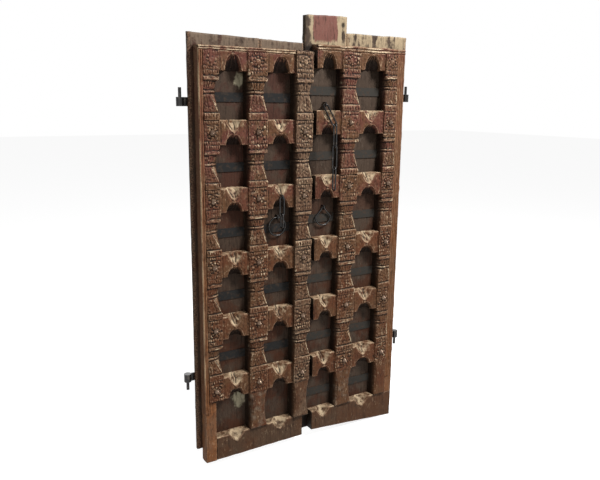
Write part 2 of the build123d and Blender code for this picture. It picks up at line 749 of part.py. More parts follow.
lean_plane = Plane(origin=(right_cell_mid, ring_y, right_chain_height), x_dir=(1, 0, 0),
                   z_dir=(0, -sin(radians(chain_lean)), cos(radians(chain_lean))))
forged_loop("right_chain_link_1", lean_plane, long_link_width, long_link_length, loop_facets)
chain_y = ring_y - long_link_run * cos(radians(chain_lean))
chain_z = right_chain_height - long_link_run * sin(radians(chain_lean)) + link_reach
link_drop = link_length - bar - link_reach
for order in range(3):
    forged_loop("right_chain_link_" + str(order + 2),
                hanging(right_cell_mid, chain_y, chain_z - order * link_drop, order % 2 == 0),
                link_width, link_length, loop_facets)
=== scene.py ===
import json
import bpy
import numpy as np
from mathutils import Matrix, Vector


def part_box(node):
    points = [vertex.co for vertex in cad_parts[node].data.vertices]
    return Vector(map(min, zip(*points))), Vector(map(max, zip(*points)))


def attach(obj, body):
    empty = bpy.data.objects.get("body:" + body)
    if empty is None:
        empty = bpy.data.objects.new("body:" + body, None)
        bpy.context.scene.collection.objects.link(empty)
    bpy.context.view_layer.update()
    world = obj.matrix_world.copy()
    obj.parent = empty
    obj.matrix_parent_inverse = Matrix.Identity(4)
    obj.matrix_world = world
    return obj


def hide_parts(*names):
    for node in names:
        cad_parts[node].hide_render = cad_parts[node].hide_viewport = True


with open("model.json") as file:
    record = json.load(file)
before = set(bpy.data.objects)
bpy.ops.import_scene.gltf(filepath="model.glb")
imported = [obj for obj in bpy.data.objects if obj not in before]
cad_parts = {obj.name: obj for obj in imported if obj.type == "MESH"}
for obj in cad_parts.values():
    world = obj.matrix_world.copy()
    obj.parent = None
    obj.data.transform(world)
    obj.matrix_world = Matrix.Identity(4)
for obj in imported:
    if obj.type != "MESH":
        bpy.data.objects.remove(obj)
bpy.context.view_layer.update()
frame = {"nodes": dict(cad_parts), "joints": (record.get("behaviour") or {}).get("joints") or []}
nodes = frame["nodes"]
mm = 0.001
print("frame loaded with", len(nodes), "nodes")


# reading the frame
def span(node, axis):  # low and high end of a node along one axis
    low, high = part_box(node)
    return low[axis], high[axis]


def edgeTop(node, x):  # height of a node's upper edge at its end x
    points = np.array([vertex.co for vertex in nodes[node].data.vertices])
    return points[np.abs(points[:, 0] - x) < mm, 2].max()


plankY, rearY = span("left_inner_plank", 1)
faceY = span("left_rail_3", 1)[0]
gridDepth = plankY - faceY
seamX = (span("left_inner_plank", 0)[1] + span("right_inner_plank", 0)[0]) / 2
leaves = {  # cells are the open spaces between the pilasters, each with a low and a high x
    "left": {"seed": 4, "cells": [(span("left_half_pilaster", 0)[1], span("left_middle_pilaster", 0)[0]),
                                  (span("left_middle_pilaster", 0)[1], span("left_meeting_pilaster", 0)[0])]},
    "right": {"seed": 5, "cells": [(span("right_rail_3", 0)[0], span("right_middle_pilaster", 0)[0]),
                                   (span("right_middle_pilaster", 0)[1], span("right_half_pilaster", 0)[0])]},
}
# from the foot up: the rails, the bays between them and the blocks beside them
for side, leaf in leaves.items():
    leaf["rails"] = ["%s_rail_%d" % (side, number) for number in (5, 4, 3, 2, 1)]
    leaf["railSpans"] = [span(rail, 2) for rail in leaf["rails"]]
    leaf["lintel"] = span(side + "_top_rail", 2)[0]
    lows, highs = zip(*leaf["railSpans"])
    leaf["bays"] = list(zip((span(side + "_bottom_rail", 2)[1],) + highs, lows + (leaf["lintel"],)))
    leaf["blocks"] = [(low + high) / 2 for low, high in leaf["railSpans"]]


# number helpers
def ease(low, high, value):  # smooth step from 0 at low to 1 at high
    t = np.clip((value - low) / (high - low), 0, 1)
    return t * t * (3 - 2 * t)


def bump(centre, width, value):  # bell curve
    return np.exp(-((value - centre) / width) ** 2)


def between(ends, value):  # rises from the first to the second end, falls from the third to the fourth
    return ease(ends[0], ends[1], value) * ease(ends[3], ends[2], value)


waveSet = {"count": 14, "spread": (0.6, 1.7), "level": 5.2}


def wobble(points, seed, size):  # sum of sine waves in random directions, about -1 to 1
    rng = np.random.default_rng(seed)
    ways = rng.normal(size=(waveSet["count"], 3))
    ways *= (2 * np.pi / size * rng.uniform(*waveSet["spread"], (waveSet["count"], 1))
             / np.linalg.norm(ways, axis=1, keepdims=True))
    phases = rng.uniform(0, 2 * np.pi, waveSet["count"])
    return np.sin(points @ ways.T + phases).sum(-1) / waveSet["level"]


def waves(points, seed, height, size):  # the same with a height
    return height * wobble(points, seed, size)


def rounded(fromEdge, radius):  # how far a rounded arris falls back, by the distance from it
    corner = np.clip(1 - fromEdge / radius, 0, 1)
    return radius * (1 - np.sqrt(1 - 0.97 * corner ** 2))  # 0.97 keeps the rim from standing upright


def blurred(grid, radius):  # moving average along both directions of a grid that closes round its columns
    rows = np.pad(grid, ((radius, radius), (0, 0), (0, 0)), mode="edge")
    grid = sum(rows[k:k + grid.shape[0]] for k in range(2 * radius + 1)) / (2 * radius + 1)
    columns = np.pad(grid, ((0, 0), (radius, radius), (0, 0)), mode="wrap")
    return sum(columns[:, k:k + grid.shape[1]] for k in range(2 * radius + 1)) / (2 * radius + 1)


shareNames = ("wear", "paintedShade", "dustAndTopLight", "bleachAndHighlight", "stainAndHighlight")
wearAndShade = {"wearFrom": 0.35 * mm, "wearOver": 1.1 * mm, "shadeFrom": 0.2 * mm, "shadeOver": 1.5 * mm}


# a grid of points (rows x columns x 3) becomes one island of a mesh; columns run round the piece
# wear comes from how far a point stands out of its surroundings, painted shade from how far it lies behind
# them, and dust with a painted top light from how far its surface faces up
def island(grid, capped=True, radius=3):
    rows, columns = grid.shape[:2]
    normal = np.cross((np.roll(grid, -1, 1) - np.roll(grid, 1, 1)) / 2, np.gradient(grid, axis=0))
    normal /= np.linalg.norm(normal, axis=-1, keepdims=True) + 1e-12
    outward = np.sign((normal * (grid - grid.mean(1, keepdims=True))).sum())
    normal *= outward
    # standing out gives pale wear; lying behind gives painted shade in the hollows
    standing = ((grid - blurred(grid, radius)) * normal).sum(-1)
    index = np.arange(rows * columns).reshape(rows, columns)
    after = np.roll(index, -1, 1)
    quads = np.stack([index[:-1], after[:-1], after[1:], index[1:]], -1).reshape(-1, 4)
    rings = [index[0][::-1], index[-1]] if capped else []
    if outward < 0:
        quads = quads[:, ::-1]
        rings = [ring[::-1] for ring in rings]
    return {"points": grid.reshape(-1, 3), "quads": quads, "rings": rings,
            "wear": np.clip((standing - wearAndShade["wearFrom"]) / wearAndShade["wearOver"], 0, 1).ravel(),
            "paintedShade": np.clip((-standing - wearAndShade["shadeFrom"]) / wearAndShade["shadeOver"], 0, 1).ravel(),
            # how far the surface faces up: dust and a painted top light
            "dustAndTopLight": np.clip(normal[..., 2], 0, 1).ravel(),
            "bleachAndHighlight": np.zeros(rows * columns), "stainAndHighlight": np.zeros(rows * columns)}


def buildPiece(name, islands, body, material, replaced):
    faces, start = [], 0
    for part in islands:
        faces += (part["quads"] + start).tolist() + [(ring + start).tolist() for ring in part["rings"]]
        start += len(part["points"])
    mesh = bpy.data.meshes.new(name)
    mesh.from_pydata(np.concatenate([part["points"] for part in islands]).tolist(), [], faces)
    for key in shareNames:
        layer = mesh.attributes.new(key, "FLOAT", "POINT")
        layer.data.foreach_set("value", np.concatenate([part[key] for part in islands]).astype(np.float32))
    mesh.polygons.foreach_set("use_smooth", np.ones(len(faces), bool))
    mesh.materials.append(material)
    piece = bpy.data.objects.new(name, mesh)
    bpy.context.scene.collection.objects.link(piece)
    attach(piece, body)
    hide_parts(*replaced)


# materials
def newMaterial(name):
    material = bpy.data.materials.new(name)
    material.use_nodes = True
    return material, material.node_tree


noiseRoughness = 0.65


def noiseOn(tree, coords, scale, detail, stretch=(1, 1, 1)):
    mapping = tree.nodes.new("ShaderNodeMapping")
    mapping.inputs["Scale"].default_value = stretch
    tree.links.new(coords.outputs["Object"], mapping.inputs["Vector"])
    noise = tree.nodes.new("ShaderNodeTexNoise")
    noise.inputs["Scale"].default_value = scale
    noise.inputs["Detail"].default_value = detail
    noise.inputs["Roughness"].default_value = noiseRoughness
    tree.links.new(mapping.outputs["Vector"], noise.inputs["Vector"])
    return noise.outputs["Fac"]


def attributeOf(tree, key):
    node = tree.nodes.new("ShaderNodeAttribute")
    node.attribute_name = key
    return node.outputs["Fac"]


def heightOf(tree, coords):
    node = tree.nodes.new("ShaderNodeSeparateXYZ")
    tree.links.new(coords.outputs["Object"], node.inputs["Vector"])
    return node.outputs["Z"]


def ranged(tree, value, low, high):  # smooth step from 0 at low to 1 at high
    node = tree.nodes.new("ShaderNodeMapRange")
    node.interpolation_type = "SMOOTHSTEP"
    node.inputs["From Min"].default_value = low
    node.inputs["From Max"].default_value = high
    tree.links.new(value, node.inputs["Value"])
    return node.outputs["Result"]


def feed(tree, value, socket):  # an output is linked, a number or a colour is set
    if hasattr(value, "links"):
        tree.links.new(value, socket)
    else:
        socket.default_value = (*value, 1) if socket.type == "RGBA" else value


def joined(tree, operation, first, second):  # a product stays within 0 and 1
    node = tree.nodes.new("ShaderNodeMath")
    node.operation = operation
    node.use_clamp = operation == "MULTIPLY"
    for socket, value in zip(node.inputs, (first, second)):
        feed(tree, value, socket)
    return node.outputs[0]


def product(tree, first, second):
    return joined(tree, "MULTIPLY", first, second)


def blendTo(tree, under, over, factor):  # under and over are outputs or colours
    node = tree.nodes.new("ShaderNodeMix")
    node.data_type = "RGBA"
    colourInputs = [entry for entry in node.inputs if entry.type == "RGBA"]
    for socket, value in zip(colourInputs, (under, over)):
        feed(tree, value, socket)
    tree.links.new(factor, node.inputs["Factor"])
    return [entry for entry in node.outputs if entry.type == "RGBA"][0]


def finishSurface(tree, colour, height, cfg):
    shader = tree.nodes["Principled BSDF"]
    for socket, key in (("Metallic", "metal"), ("Roughness", "roughness"), ("Specular IOR Level", "gloss")):
        shader.inputs[socket].default_value = cfg[key]
    tree.links.new(colour, shader.inputs["Base Color"])
    relief = tree.nodes.new("ShaderNodeBump")
    relief.inputs["Strength"].default_value = cfg["relief"]
    relief.inputs["Distance"].default_value = cfg["reliefDepth"]
    tree.links.new(height, relief.inputs["Height"])
    tree.links.new(relief.outputs["Normal"], shader.inputs["Normal"])


# noises by scale, detail and stretch; steps by what they read, where they are 0 and where they are 1
woodNoise = {"grain": (26, 5, (5, 5, 0.45)), "specks": (150, 4), "clouds": (34, 5),
             "flecks": (60, 7, (1.7, 1.7, 0.7)), "peeling": (11, 4)}
woodSteps = {"lowDown": ("height", 1.55, 0.95), "grain": ("grain", 0.48, 0.74),
             "peeling": ("peeling", 0.44, 0.6), "chips": ("flecks", 0.56, 0.66),
             "pits": ("flecks", 0.45, 0.33), "ledges": ("dustAndTopLight", 0.2, 0.7),
             "upwardClouds": ("clouds", 0.36, 0.6), "upwardSpecks": ("specks", 0.3, 0.56),
             "wornSpecks": ("specks", 0.4, 0.66), "hollows": ("paintedShade", 0.05, 0.7)}
woodLook = {"patchScale": 7.0, "patchDetail": 6, "paintLow": 0.42, "paintFade": 0.16,
            "shareBorder": (0.82, 1.12), "wood": (0.092, 0.043, 0.02), "paint": (0.096, 0.033, 0.022),
            "lowPaint": (0.088, 0.032, 0.014), "deep": (0.007, 0.0045, 0.003), "pale": (0.46, 0.33, 0.205),
            "worn": (0.26, 0.155, 0.095), "dustAndTopLight": (0.42, 0.31, 0.195), "bleachAndHighlight": (0.14, 0.1, 0.07),
            "stainAndHighlight": (0.52, 0.41, 0.27), "grain": 0.65, "scuffLow": 0.58, "scuffFade": 0.2, "scuff": 0.3,
            "wear": 0.9, "dustAndTopLightAmount": 0.75, "paintedShade": 0.92, "fleck": 0.55, "pit": 0.75, "metal": 0.0,
            "roughness": 0.6, "gloss": 0.1, "relief": 0.6, "reliefDepth": 3 * mm}


# worn paint over old wood: paint in patches, dark grain, scuffs, pale chips and dark pits, dust with a painted
# top light on faces that look up, pale worn edges and painted shade in hollows; the bleach and stain shares
# are painted on the piece where it is weathered or coloured otherwise, and on some edges carry a painted
# highlight
def agedWood(name, cfg):
    material, tree = newMaterial(name)
    coords = tree.nodes.new("ShaderNodeTexCoord")
    source = {key: noiseOn(tree, coords, *values) for key, values in woodNoise.items()}
    source.update({key: attributeOf(tree, key) for key in shareNames})
    source["height"] = heightOf(tree, coords)
    step = {key: ranged(tree, source[read], low, high) for key, (read, low, high) in woodSteps.items()}
    patches = ranged(tree, noiseOn(tree, coords, cfg["patchScale"], cfg["patchDetail"]),
                     cfg["paintLow"], cfg["paintLow"] + cfg["paintFade"])
    paint = blendTo(tree, cfg["paint"], cfg["lowPaint"], step["lowDown"])
    colour = blendTo(tree, cfg["wood"], paint, patches)
    for key in ("bleachAndHighlight", "stainAndHighlight"):  # noise breaks up the border of the painted share
        border = joined(tree, "ADD", source[key], source["clouds"])
        colour = blendTo(tree, colour, cfg[key], ranged(tree, border, *cfg["shareBorder"]))
    scuffs = ranged(tree, source["clouds"], cfg["scuffLow"], cfg["scuffLow"] + cfg["scuffFade"])
    # faces that look up turn pale: dust and a painted top light, broken up by clouds and specks
    upwardPale = product(tree, step["ledges"], product(tree, step["upwardClouds"], step["upwardSpecks"]))
    layers = [("deep", step["grain"], "grain"), ("pale", scuffs, "scuff"),
              ("pale", product(tree, step["peeling"], step["chips"]), "fleck"), ("deep", step["pits"], "pit"),
              ("dustAndTopLight", upwardPale, "dustAndTopLightAmount"),
              ("worn", product(tree, source["wear"], step["wornSpecks"]), "wear"),
              # painted shade: the deep colour laid into hollows
              ("deep", step["hollows"], "paintedShade")]
    for tone, cover, amount in layers:
        colour = blendTo(tree, colour, cfg[tone], product(tree, cover, cfg[amount]))
    finishSurface(tree, colour, source["flecks"], cfg)
    return material


woodChanges = {
    "carved": {},
    "bare": {"paint": (0.085, 0.042, 0.025), "wood": (0.11, 0.066, 0.04), "lowPaint": (0.08, 0.036, 0.018),
             "worn": (0.34, 0.22, 0.135)},
    "panel": {"paint": (0.05, 0.021, 0.014), "wood": (0.05, 0.032, 0.022), "lowPaint": (0.048, 0.019, 0.01),
              "pale": (0.14, 0.1, 0.065), "stainAndHighlight": (0.42, 0.37, 0.25), "scuffLow": 0.64, "dustAndTopLightAmount": 0.3,
              "fleck": 0.3, "pit": 0.4},
    "rightPanel": {"paint": (0.045, 0.03, 0.021), "wood": (0.055, 0.037, 0.026),
                   "lowPaint": (0.05, 0.021, 0.012), "pale": (0.15, 0.12, 0.09), "bleachAndHighlight": (0.3, 0.23, 0.145),
                   "stainAndHighlight": (0.142, 0.06, 0.046), "scuffLow": 0.62, "dustAndTopLightAmount": 0.3, "fleck": 0.3,
                   "pit": 0.4},
    "stile": {"paint": (0.15, 0.06, 0.033), "wood": (0.16, 0.078, 0.04), "lowPaint": (0.155, 0.064, 0.027),
              "bleachAndHighlight": (0.5, 0.35, 0.21), "stainAndHighlight": (0.22, 0.082, 0.028), "fleck": 0.3, "pit": 0.5},
    "sill": {"paint": (0.062, 0.031, 0.018), "wood": (0.067, 0.038, 0.022), "lowPaint": (0.07, 0.031, 0.015),
             "patchScale": 4.0, "scuff": 0.2, "fleck": 0.3, "pit": 0.4},
    "batten": {"paint": (0.055, 0.032, 0.02)},
}
looks = {name: agedWood(name + "Wood", {**woodLook, **changes}) for name, changes in woodChanges.items()}


def forgedIron(name, cfg):  # dark iron with patches of rust
    material, tree = newMaterial(name)
    scale = noiseOn(tree, tree.nodes.new("ShaderNodeTexCoord"), *cfg["noise"])
    colour = blendTo(tree, cfg["dark"], cfg["rust"], ranged(tree, scale, *cfg["rustBorder"]))
    finishSurface(tree, colour, scale, cfg)
    return material


ironLook = {"noise": (60, 6), "rustBorder": (0.48, 0.72), "metal": 0.0, "roughness": 0.7, "gloss": 0.1,
            "relief": 0.35, "reliefDepth": 1.5 * mm}
ironChanges = {
    "forgedIron": {"dark": (0.022, 0.021, 0.021), "rust": (0.075, 0.062, 0.052), "metal": 0.7,
                   "roughness": 0.27, "gloss": 0.6},
    "paintedBand": {"dark": (0.03, 0.027, 0.023), "rust": (0.05, 0.03, 0.02)},
    "bossIron": {"dark": (0.13, 0.08, 0.052), "rust": (0.34, 0.25, 0.165), "metal": 0.55,
                 "roughness": 0.28, "gloss": 0.5},
    "bandIron": {"dark": (0.015, 0.0145, 0.014), "rust": (0.045, 0.03, 0.021)},
}
irons = {name: forgedIron(name, {**ironLook, **changes}) for name, changes in ironChanges.items()}
print("materials ready")


# pilasters: a section (side, front, side) carried up the height, its front cut back by tables of shares and
# raised by carved rosettes, bands, petals and beads; the lowest bay is worn plain
pilasterCut = {
    "heights": [0, 0.135, 0.145, 0.3, 0.44, 0.54, 0.6, 0.785, 0.795, 0.865, 0.875, 0.915, 0.925, 1],
    "cut": [0, 0, 0.1, 0.4, 0.74, 1, 1, 0.5, 0.12, 0.04, 0.16, 0.16, 0, 0],
    "relief": [-0.35, -0.35, 0.15, 0.35, 0.75, 1, 1, 0.6, 0, -0.35, 0.25, 0.25, 0, 0],
}
pilasterWorn = {"heights": [0, 0.25, 0.5, 0.75, 1], "cut": [0.1, 0.5, 0.66, 0.5, 0.1],
                "relief": [0.3, 0.55, 0.7, 0.55, 0.3]}
# a pair is the height and the size of waves
pilasterCarving = {"relief": 7 * mm, "rowStep": 2.9 * mm, "rowGap": 0.3 * mm, "frontCount": 52,
                   "gather": 0.35, "edgeRound": 5 * mm, "flankCount": 14, "flankBulge": 0.8,
                   "flankFull": 30 * mm, "flankWrap": 0.55, "flankOrnament": 0.8 * mm,
                   "flankChips": (0.8 * mm, 25 * mm), "warpX": (1.3 * mm, 60 * mm),
                   "warpZ": (1.3 * mm, 50 * mm), "fine": (0.9 * mm, 16 * mm), "broad": (0.9 * mm, 60 * mm),
                   "lump": 2.2 * mm, "lumpSize": 20 * mm, "chipSize": 40 * mm, "chipLeft": 0.25,
                   "fade": (0.4, 160 * mm), "fadeLimits": (0.4, 1.1), "footWear": 0.35, "footFrom": (1.5, 0.4),
                   "wornRough": 0.35, "wornCarving": 0.12}
# a column is counted from an edge of the front, with how far its pale edge spreads: rubbing and a painted
# highlight
pilasterPaintedLightAndWear = {"bell": (0.16, 0.22, 0.46, 0.56), "rightHighlightAndWear": 0.62, "rightColumn": (-3, 4.0),
                "leftHighlightAndWear": 0.4, "leftColumn": (1, 3.0), "rubbed": 0.6, "patchSize": 100 * mm, "flankShade": 0.95}

# carved heights, radii and widths on a block, in mm
blockMotifs = {"rosette": 27, "petal": 6, "hub": 10, "hubHeight": 2.2, "ring": 15, "ringCut": 3.5,
               "field": 30, "dotPitch": 11.5, "dotEdge": 10.5, "dot": 4.4, "dotWidth": 4.4, "lineCut": 2.2,
               "innerLine": 20, "outerLine": 2.5, "sideLine": 6, "sideCut": 2, "drop": 8.5, "dropHeight": 4.5,
               "dropSide": 17, "dropEdge": 31, "sunk": 1.5}


# on a block, x and z in mm from its middle: a rosette of eight petals with a hub and a cut ring; outside it
# dots along the upper and lower edges, cut lines, and a drop in each corner
def blockCarving(x, z, halfWidth, halfHeight):
    cfg = blockMotifs
    radius, angle = np.hypot(x, z), np.arctan2(z, x)
    lobe = cfg["rosette"] * (0.66 + 0.34 * np.abs(np.cos(4 * angle)))
    veins = 0.7 + 0.3 * np.cos(8 * angle) * ease(6, 18, radius)
    petals = cfg["petal"] * ease(0, 5, lobe - radius) * veins
    hub = cfg["hubHeight"] * ease(0, 2, cfg["hub"] - radius)
    hollow = -cfg["ringCut"] * bump(cfg["ring"], 2, radius)
    edge, border = halfHeight - np.abs(z), halfWidth - np.abs(x)
    row = ease(-0.5, 0.8, np.cos(2 * np.pi * x / cfg["dotPitch"]))
    dots = cfg["dot"] * row * bump(cfg["dotEdge"], cfg["dotWidth"], edge)
    lines = -cfg["lineCut"] * (bump(cfg["innerLine"], 1.8, edge) + bump(cfg["outerLine"], 1.4, edge))
    lines -= cfg["sideCut"] * bump(cfg["sideLine"], 1.6, border) * ease(20, 22, edge)
    corner = np.hypot(np.abs(x) - (halfWidth - cfg["dropSide"]), np.abs(z) - (halfHeight - cfg["dropEdge"]))
    drops = cfg["dropHeight"] * ease(0, 5, cfg["drop"] - corner)
    return np.where(radius < cfg["field"], petals + hub + hollow, dots + lines + drops) - cfg["sunk"]


# heights in mm, places and widths as shares of the bay; a line is a height, a place and a width
bayMotifs = {"knob": 3.4, "knobWaves": 6.5, "knobRow": (0.07, 0.035), "base": (0, 0.02, 0.12, 0.14),
             "petal": 4.2, "leafWaves": 1.75, "vein": 1.2, "veinWaves": 10.5,
             "petals": (0.17, 0.22, 0.44, 0.53), "hem": 2.4, "hemRow": (0.2, 0.014), "tip": 2.4,
             "tipRow": 0.36, "tipDrop": 0.09, "tipWidth": 0.014, "flute": 1.9, "fluteWaves": 4,
             "flutes": (0.63, 0.66, 0.75, 0.78), "bead": 4.2, "beadWaves": 7, "beadRow": (0.962, 0.024),
             "beadSunk": 1.4, "beadBand": (0.925, 0.935),
             "lines": ((-3.2, 0.155, 0.009), (3.6, 0.57, 0.016), (-2.2, 0.53, 0.012), (-2.2, 0.61, 0.012),
                       (2.6, 0.82, 0.014), (-2.6, 0.85, 0.011), (-3, 0.795, 0.009))}


# in a carved bay, u from -1 to 1 across the front and on round the flanks, t from 0 to 1 up: a row of knobs,
# a bell of veined petals with a hem, a fluted neck, a row of beads, and raised and cut lines between them
def bayCarving(u, t):
    cfg = bayMotifs
    knobs = ease(-0.3, 0.5, np.cos(cfg["knobWaves"] * np.pi * u))
    base = between(cfg["base"], t) * (0.4 + cfg["knob"] * knobs * bump(*cfg["knobRow"], t))
    leaf = np.abs(np.cos(cfg["leafWaves"] * np.pi * u)) ** 0.8
    veins = cfg["vein"] * np.cos(cfg["veinWaves"] * np.pi * u)
    petals = (cfg["petal"] * (leaf - 0.45) + veins) * between(cfg["petals"], t)
    hem = cfg["hem"] * bump(*cfg["hemRow"], t) * knobs
    tips = -cfg["tip"] * bump(cfg["tipRow"] - cfg["tipDrop"] * leaf, cfg["tipWidth"], t)
    flutes = cfg["flute"] * np.cos(cfg["fluteWaves"] * np.pi * u) * between(cfg["flutes"], t)
    beads = cfg["bead"] * ease(-0.2, 0.5, np.cos(cfg["beadWaves"] * np.pi * u)) * bump(*cfg["beadRow"], t)
    beads = beads - cfg["beadSunk"] * ease(*cfg["beadBand"], t)
    lines = sum(height * bump(place, width, t) for height, place, width in cfg["lines"])
    return base + petals + hem + tips + flutes + beads + lines


# rows of a pilaster, close together at the ends of its bays: height, share of the way up a bay (-1 outside),
# shares of the cut and the relief, how much of the bay's carving is left, and whether the row is worn
def pilasterRows(node, leaf):
    z0, z1 = span(node, 2)
    bays = [bay for bay in leaf["bays"] if bay[0] >= z0 - mm]
    ends = (np.ravel(bays)[:, None] + [-pilasterCarving["rowGap"], pilasterCarving["rowGap"]]).ravel()
    heights = np.arange(z0, z1, pilasterCarving["rowStep"])
    heights = np.unique(np.concatenate([heights, ends[(ends > z0) & (ends < z1)], [z1]]))
    share, cut, relief = np.full(len(heights), -1.0), np.zeros(len(heights)), np.zeros(len(heights))
    worn = np.zeros(len(heights), bool)
    for low, high in bays:
        inside = (heights > low) & (heights < high)
        table = pilasterWorn if low == leaf["bays"][0][0] else pilasterCut
        worn[inside] = table is pilasterWorn
        share[inside] = (heights[inside] - low) / (high - low)
        cut[inside] = np.interp(share[inside], table["heights"], table["cut"])
        relief[inside] = np.interp(share[inside], table["heights"], table["relief"])
    kept = np.where(worn, pilasterCarving["wornCarving"], share >= 0)
    return {"z": heights, "share": share, "cut": cut, "relief": relief, "kept": kept, "worn": worn}


# carved heights in mm over the front: bays and blocks, pushed about a little so that no two are alike
def frontCarving(x, u, rows, node, leaf, seed):
    cfg = pilasterCarving
    x0, x1 = span(node, 0)
    top = span(node, 2)[1]
    z = rows["z"][:, None] + 0 * x
    place = np.stack([x, 0 * x, z], -1)
    shiftX = waves(place, seed + 5, *cfg["warpX"])
    shiftZ = waves(place, seed + 6, *cfg["warpZ"])
    low, high = leaf["bays"][-1]
    carved = bayCarving(u + shiftX / (x1 - x0) * 2, rows["share"][:, None] + shiftZ / (high - low))
    carved *= rows["kept"][:, None]
    topBlock = (high + top) / 2
    halfBlock = (leaf["railSpans"][0][1] - leaf["railSpans"][0][0]) / 2
    for centre, half in [(block, halfBlock) for block in leaf["blocks"]] + [(topBlock, top - topBlock)]:
        block = (rows["share"] < 0) & (np.abs(rows["z"] - centre) <= half + mm)
        acrossBlock = (x[block] + shiftX[block] - (x0 + x1) / 2) / mm
        upBlock = (z[block] + shiftZ[block] - centre) / mm
        carved[block] = blockCarving(acrossBlock, upBlock, (x1 - x0) / 2 / mm, half / mm)
    # worn more in some places than in others, and more towards the foot
    chips = wobble(place, seed + 7, cfg["chipSize"]) - cfg["footWear"] * ease(*cfg["footFrom"], z)
    fade = np.clip(0.75 + waves(place, seed, *cfg["fade"]), *cfg["fadeLimits"])
    return carved * fade * (cfg["chipLeft"] + (1 - cfg["chipLeft"]) * ease(-1.0, -0.2, chips))


def frontRoughness(place, worn, seed):  # fine and broad waves, with lumps where a wave is high
    cfg = pilasterCarving
    rough = waves(place, seed + 1, *cfg["fine"]) + waves(place, seed + 2, *cfg["broad"])
    rough += cfg["lump"] * ease(0.7, 1.1, wobble(place, seed + 8, cfg["lumpSize"]))
    rough[worn] *= cfg["wornRough"]
    return rough


# a flank turns from the planks to an edge of the front: in by 1 - cos of the turn, forward by its sine;
# way is -1 on the left and 1 on the right
def pilasterFlank(plain, edge, frontY, way, turn, rows, seed):
    cfg = pilasterCarving
    inward = (edge - plain)[:, None]
    x = plain + inward * (1 - np.cos(turn)) ** cfg["flankBulge"]
    y = plankY + (frontY - plankY)[:, None] * np.sin(turn)
    z = rows["z"][:, None] + 0 * x
    wrap = way * (1 + (np.pi / 2 - turn) * cfg["flankWrap"])
    ornament = bayCarving(wrap, rows["share"][:, None]) * rows["kept"][:, None]
    ornament = cfg["flankOrnament"] * ornament * np.abs(inward) / cfg["flankFull"] * np.sin(turn) ** 0.5
    chips = waves(np.stack([x, y, z], -1), seed, *cfg["flankChips"]) * np.sin(turn)
    x = x + way * (ornament - np.abs(chips)) * np.cos(turn)
    return np.stack([x, y - ornament * np.sin(turn), z], -1)


# pale edges on the slanting bells, rubbing and a painted highlight that is stronger on the right; painted
# shade that deepens down the flanks towards the planks; and paint lost on the worn foot
def pilasterShares(skin, rows, frontCount, turn, lostPaint, seed):
    cfg = pilasterPaintedLightAndWear
    column = np.arange(frontCount + 2 * len(turn))
    edges = bump(*cfg["rightColumn"], column - len(turn) - frontCount)
    edges += cfg["leftHighlightAndWear"] * bump(*cfg["leftColumn"], column - len(turn))
    bell = between(cfg["bell"], rows["share"]) * ~rows["worn"]
    # pale bell edges: rubbing and a painted highlight, stronger on the right side
    pale = np.clip(cfg["rightHighlightAndWear"] * bell[:, None] * edges, 0, 1).ravel()
    patches = ease(0.1, 0.9, wobble(skin["points"], seed + 9, cfg["patchSize"]))
    skin["stainAndHighlight"] = np.maximum(pale, cfg["rubbed"] * skin["wear"] * patches)
    # painted shade that deepens down the flanks towards the planks
    flankShadeDepth = cfg["flankShade"] * (1 - np.sin(turn)) ** 0.6
    extraShade = np.concatenate([flankShadeDepth, np.zeros(frontCount), flankShadeDepth[::-1]])
    skin["paintedShade"] = np.maximum(skin["paintedShade"], np.tile(extraShade, len(rows["z"])))
    skin["bleachAndHighlight"] = lostPaint * np.repeat(rows["worn"], len(column))


def pilasterSkin(node, cfg, seed):
    leaf = leaves[cfg["side"]]
    rows = pilasterRows(node, leaf)
    x0, x1 = span(node, 0)
    left, right = x0 + cfg["cuts"][0] * rows["cut"], x1 - cfg["cuts"][1] * rows["cut"]
    halfWidth = (right - left)[:, None] / 2
    count, gather = pilasterCarving["frontCount"], pilasterCarving["gather"]
    u = -np.cos(np.linspace(0, np.pi, count)) * gather + np.linspace(-1, 1, count) * (1 - gather)
    x = (left + right)[:, None] / 2 + halfWidth * u
    z = rows["z"][:, None] + 0 * x
    front = faceY - cfg["proud"] + rows["relief"] * pilasterCarving["relief"]
    y = front[:, None] - frontCarving(x, u, rows, node, leaf, seed) * mm
    y += frontRoughness(np.stack([x, 0 * x, z], -1), rows["worn"], seed)
    y += rounded((1 - np.abs(u)) * halfWidth, pilasterCarving["edgeRound"])
    turn = np.linspace(0, np.pi / 2, pilasterCarving["flankCount"], endpoint=False)
    leftFlank = pilasterFlank(x0, left, y[:, 0], -1, turn, rows, seed + 4)
    rightFlank = pilasterFlank(x1, right, y[:, -1], 1, turn, rows, seed + 3)
    skin = island(np.concatenate([leftFlank, np.stack([x, y, z], -1), rightFlank[:, ::-1]], 1))
    pilasterShares(skin, rows, count, turn, cfg["lostPaint"], seed)
    return skin


pilasters = {
    "left_half_pilaster": {"side": "left", "cuts": (0, 43 * mm), "proud": 8 * mm, "look": "carved",
                           "lostPaint": 0},
    "left_middle_pilaster": {"side": "left", "cuts": (30 * mm, 30 * mm), "proud": 8 * mm, "look": "carved",
                             "lostPaint": 0.42},
    "left_meeting_pilaster": {"side": "left", "cuts": (22 * mm, 22 * mm), "proud": 14 * mm, "look": "bare",
                              "lostPaint": 0},
    "right_middle_pilaster": {"side": "right", "cuts": (30 * mm, 30 * mm), "proud": 8 * mm, "look": "carved",
                              "lostPaint": 0.36},
    "right_half_pilaster": {"side": "right", "cuts": (30 * mm, 0), "proud": 8 * mm, "look": "carved",
                            "lostPaint": 0},
}
for number, (node, cfg) in enumerate(pilasters.items()):
    skin = pilasterSkin(node, cfg, 10 * number + 3)
    buildPiece(node + "_carved", [skin], cfg["side"] + "_leaf", looks[cfg["look"]], [node])
print("pilasters carved")


